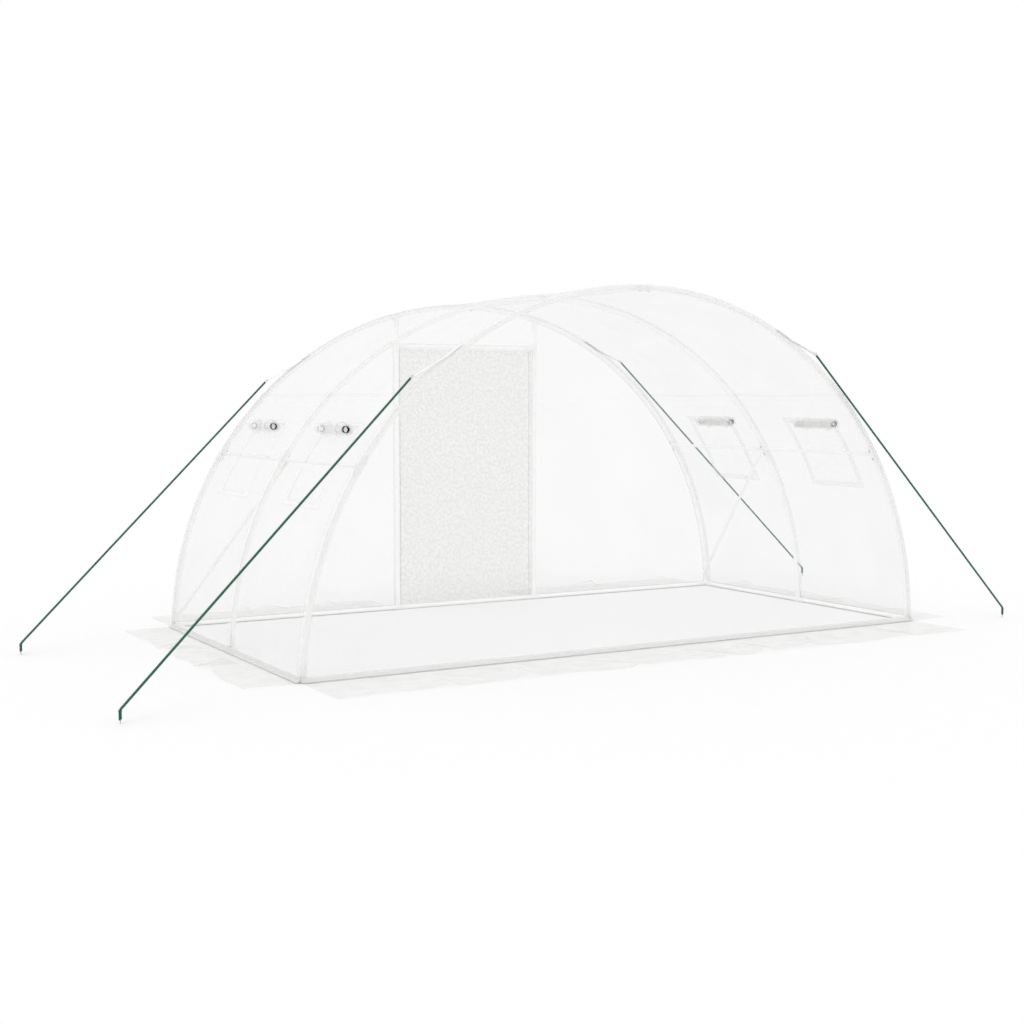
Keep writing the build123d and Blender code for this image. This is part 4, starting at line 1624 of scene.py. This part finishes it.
@dataclass
class GuyRopes:
    """The four taut ropes with their straps, rings and lashings. The pegs are the CAD's own."""

    outline: Outline
    finishes: Finishes
    rope_radius: float = 0.006
    strand_radius: float = 0.0034
    strand_offset: float = 0.0031
    lay: float = 0.036
    left_angle: float = math.radians(47.0)
    right_angle: float = math.radians(53.6)
    stand_off: float = 0.044
    peg_radius: float = 0.003
    strap_width: float = 0.030
    strap_length: float = 0.32
    strap_lift_off: float = 0.20
    strap_film: float = 0.0022
    strap_lift: float = 0.0034
    ring_radius: float = 0.013
    ring_wire: float = 0.0022
    lashing_cord: float = 0.0024
    knot_radius: float = 0.0050
    knot_drop: float = 0.004
    knot_twist: float = 0.0015

    def build(self) -> None:
        """Makes the ropes and lashings of each side, then all straps and rings."""
        straps, rings = [], []
        ends = (self.outline.hoop_ys[0], self.outline.hoop_ys[-1])
        for side, up in ((Side.LEFT, self.left_angle), (Side.RIGHT, self.right_angle)):
            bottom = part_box(f"guy_ropes_{side.label}")[0].z
            angle = up if side is Side.RIGHT else math.pi - up
            ropes = []
            for hoop_y, foot in zip(ends, self.feet(side)):
                top = self.outline.place(np.array(angle), np.array(self.stand_off), np.array(hoop_y))
                ropes += self.rope(top, foot)
                ropes += self.lashing(foot, bottom)
                straps.append(self.strap(side, up, hoop_y, top))
                rings.append(self.ring(top, foot))
            twisted = make_piece(f"twisted_ropes_{side.label}", joined(ropes), self.finishes.rope)
            turn_outwards(twisted)
            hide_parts(f"guy_ropes_{side.label}")
        tabs = make_piece("rope_straps", joined(straps), self.finishes.webbing)
        thicken(tabs, self.strap_film)
        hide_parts("rope_tabs")
        metal = make_piece("strap_rings", joined(rings), self.finishes.steel)
        turn_outwards(metal)

    def feet(self, side: Side) -> tuple[np.ndarray, np.ndarray]:
        """Where the near and the far rope of a side end, on top of their pegs.

        The near peg of the right side stands further in than the far one, so it is at its box's low X.

        Args:
            side: The side of the tunnel.

        Returns:
            The two points, near and far.
        """
        low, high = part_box(f"pegs_{side.label}")
        top = high.z + self.rope_radius
        near_x, far_x = low.x + self.peg_radius, high.x - self.peg_radius
        near = np.array([near_x, low.y + self.peg_radius, top])
        return near, np.array([far_x, high.y - self.peg_radius, top])

    def rope(self, top: np.ndarray, foot: np.ndarray) -> list[Surface]:
        """Three strands twisted about the straight line from the ring to the peg."""
        long = float(np.linalg.norm(foot - top))
        line = top + np.linspace(0.004, 1, round(long / self.lay * 12))[:, None] * (foot - top)
        strands = [helix(line, self.strand_offset, self.lay, TURN * k / 3, (0, 0, 1)) for k in range(3)]
        return [round_bar(strand, self.strand_radius, 7, (0, 0, 1)) for strand in strands]

    def lashing(self, foot: np.ndarray, bottom: float) -> list[Surface]:
        """Cord wound close round the peg, from under the rope down, and a knot of rope at its top."""
        drop = foot[2] - bottom
        turns = drop / (2 * self.lashing_cord)
        t = np.linspace(0, 1, round(turns * 14))
        turn = TURN * turns * t
        reach = self.peg_radius + self.lashing_cord * 0.9
        coil = foot + np.stack([reach * np.cos(turn), reach * np.sin(turn), -drop * t], -1)
        bend = np.linspace(0, TURN, 25)
        rise = self.knot_twist * np.sin(2 * bend) - self.knot_drop
        knot = foot + np.stack([self.knot_radius * np.cos(bend), self.knot_radius * np.sin(bend), rise], -1)
        return [
            round_bar(coil, self.lashing_cord, 8, (0, 0, 1)),
            round_bar(knot, self.rope_radius * 0.55, 8, (0, 0, 1)),
        ]

    def strap(self, side: Side, up: float, y: float, top: np.ndarray) -> Surface:
        """A strap that lies on the cover along an arc and then runs straight to the ring.

        Args:
            side: The side of the tunnel.
            up: The angle of the rope's end above the right-hand ground.
            y: The strap's place along the ridge.
            top: The rope's end.

        Returns:
            The strap's surface.
        """
        run = np.array([self.strap_length, self.strap_lift_off]) / self.outline.radius
        bends = np.linspace(up + run[0], up + run[1], 12)
        bends = bends if side is Side.RIGHT else math.pi - bends
        arc = self.outline.place(bends, np.array(self.strap_lift), np.array(y))
        straight = arc[-1] + np.linspace(0, 1, 12)[1:, None] * (top - arc[-1])
        return strip(np.concatenate([arc, straight]), (0, 1, 0), self.strap_width)

    def ring(self, top: np.ndarray, foot: np.ndarray) -> Surface:
        """A round wire ring through the strap's end, in the plane of the rope and the ridge."""
        ahead = unit(foot - top)
        bend = np.linspace(0, TURN, 33)
        across = np.array([0.0, 1.0, 0.0])
        path = top + self.ring_radius * (np.cos(bend)[:, None] * across + np.sin(bend)[:, None] * ahead)
        return round_bar(path, self.ring_wire, 8, np.cross(ahead, across))


@dataclass
class Fasteners:
    """Small hexagon bolts through the purlin joints' sleeves."""

    outline: Outline
    finishes: Finishes
    across_flats: float = 0.010
    head: float = 0.0045
    bolt_reach: float = 0.028

    def build(self) -> None:
        """Makes two bolts at each purlin joint, on the inner side of the sleeve."""
        purlin = Hoops(self.outline, self.finishes).purlin_angle()
        low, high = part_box("hoop_middle")
        line = high.z - (high.y - low.y) / 2 - self.outline.centre_z
        sleeve = (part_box("purlin_joints_middle")[1].z - self.outline.centre_z) - line
        bolts = []
        for y in self.outline.hoop_ys:
            for angle in (purlin, math.pi / 2, math.pi - purlin):
                for way in (-1, 1):
                    at = angle + way * self.bolt_reach / line
                    bolts.append(self.bolt(at, y, line - sleeve))
        piece = make_piece("joint_bolts", joined(bolts), self.finishes.steel)
        turn_outwards(piece)

    def bolt(self, angle: float, y: float, seat: float) -> Surface:
        """A hexagon head that points to the centre line, with a chamfered rim."""
        inward = -np.array([math.cos(angle), 0.0, math.sin(angle)])
        base = np.array([0.0, y, self.outline.centre_z]) - inward * seat
        rise = np.array([-0.0006, 0.0, self.head - 0.0008, self.head])
        corner = self.across_flats / math.sqrt(3)
        radius = corner * np.array([1.0, 1.0, 1.0, 0.86])
        return round_bar(base + rise[:, None] * inward, radius, 6, (0, 1, 0))


@dataclass
class Studio:
    """The plain pale floor, soft light and the camera at the photograph's angle."""

    camera_place: tuple[float, float, float] = (-4.6183, -7.5341, 1.3557)
    heading: float = math.radians(30.15)
    pitch: float = math.radians(-4.38)
    focal_pixels: float = 1471.48
    frame_pixels: float = 1024.0
    sensor: float = 36.0
    floor_half: float = 600.0
    floor_colour: float = 0.94
    world_level: float = 0.98
    key_strength: float = 0.42
    key_tilt: float = math.radians(38)
    key_heading: float = math.radians(-48)
    key_spread: float = math.radians(35)
    floor_drop: float = 0.0005
    seen_white: float = 1.001
    see_through_bounces: int = 20

    def build(self) -> None:
        """Makes the camera, the lights, the world and the floor."""
        scene = bpy.context.scene
        scene.view_settings.view_transform = "Standard"
        scene.cycles.transparent_max_bounces = self.see_through_bounces
        self.build_camera(scene)
        self.build_world(scene)
        self.build_lights(scene)
        self.build_floor()

    def build_camera(self, scene: bpy.types.Scene) -> None:
        """Makes the camera: its lens is the focal length in pixels times the sensor over the frame."""
        data = bpy.data.cameras.new("photo_camera")
        data.sensor_width = self.sensor
        data.lens = self.focal_pixels / self.frame_pixels * self.sensor
        camera = bpy.data.objects.new("photo_camera", data)
        camera.location = self.camera_place
        camera.rotation_euler = (math.pi / 2 + self.pitch, 0.0, -self.heading)
        scene.collection.objects.link(camera)
        scene.camera = camera

    def seen_directly(self, graph: Graph) -> bpy.types.NodeSocket:
        """One for camera, glossy and transmission rays, as a sum held at one."""
        path = graph.node("LightPath").outputs
        rays = graph.math("ADD", path["Is Camera Ray"], path["Is Glossy Ray"])
        return graph.math("MINIMUM", graph.math("ADD", rays, path["Is Transmission Ray"]), 1.0)

    def build_world(self, scene: bpy.types.Scene) -> None:
        """Makes a white world that lights softly and is seen as plain white."""
        world = bpy.data.worlds.new("studio")
        world.use_nodes = True
        graph = Graph(world.node_tree)
        background = world.node_tree.nodes["Background"]
        background.inputs["Color"].default_value = grey(1.0)
        seen = self.seen_directly(graph)
        graph.put(background.inputs["Strength"], graph.remap(seen, 0.0, 1.0, self.world_level, 1.0))
        scene.world = world

    def build_lights(self, scene: bpy.types.Scene) -> None:
        """Makes one broad soft key from the upper left, in front."""
        data = bpy.data.lights.new("key", "SUN")
        data.energy = self.key_strength
        data.angle = self.key_spread
        key = bpy.data.objects.new("key", data)
        key.rotation_euler = (self.key_tilt, 0.0, self.key_heading)
        scene.collection.objects.link(key)

    def build_floor(self) -> None:
        """Makes the floor, whose seen colour is one over the light on it, so it is white outside the shadow."""
        material = bpy.data.materials.new("studio_floor")
        material.use_nodes = True
        graph = Graph(material.node_tree)
        nodes = material.node_tree.nodes
        nodes.remove(nodes["Principled BSDF"])
        light = self.world_level + self.key_strength * math.cos(self.key_tilt) / math.pi
        colour = graph.blend(self.seen_directly(graph), grey(self.floor_colour), grey(self.seen_white / light))
        lit = graph.node("BsdfDiffuse", Color=colour)
        graph.put(nodes["Material Output"].inputs["Surface"], lit.outputs[0])
        half = self.floor_half
        mesh = bpy.data.meshes.new("floor")
        corners = [(-half, -half, 0), (half, -half, 0), (half, half, 0), (-half, half, 0)]
        mesh.from_pydata(corners, [], [(0, 1, 2, 3)])
        mesh.materials.append(material)
        floor = bpy.data.objects.new("floor", mesh)
        floor.location.z = -self.floor_drop
        bpy.context.scene.collection.objects.link(floor)


def dress_frame(finishes: Finishes) -> None:
    """Gives each CAD node that still shows its procedural material.

    Args:
        finishes: The tunnel's materials.
    """
    for name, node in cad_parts.items():
        if node.hide_render:
            continue
        if name.startswith("pegs"):
            material, slot = finishes.steel, Slot.PEG
        elif "joints" in name or name.startswith("feet"):
            material, slot = finishes.joint, Slot.JOINT
        else:
            material, slot = finishes.tube, Slot.TUBE
        node.data.materials.clear()
        node.data.materials.append(material)
        LOG.info("%s: CAD node in %s", name, material.name)


def main() -> None:
    logging.basicConfig(level=logging.INFO, format="%(name)s %(message)s")
    outline = Outline.from_frame()
    finishes = Finishes.build()
    Studio().build()
    Hoops(outline, finishes).build()
    windows = Windows(outline, finishes)
    Cover(outline, finishes, windows).build()
    windows.build_nets()
    windows.build_rolls()
    Gables(outline, finishes).build()
    GroundFlaps(outline, finishes).build()
    GuyRopes(outline, finishes).build()
    Fasteners(outline, finishes).build()
    dress_frame(finishes)


if __name__ == "__main__":
    main()
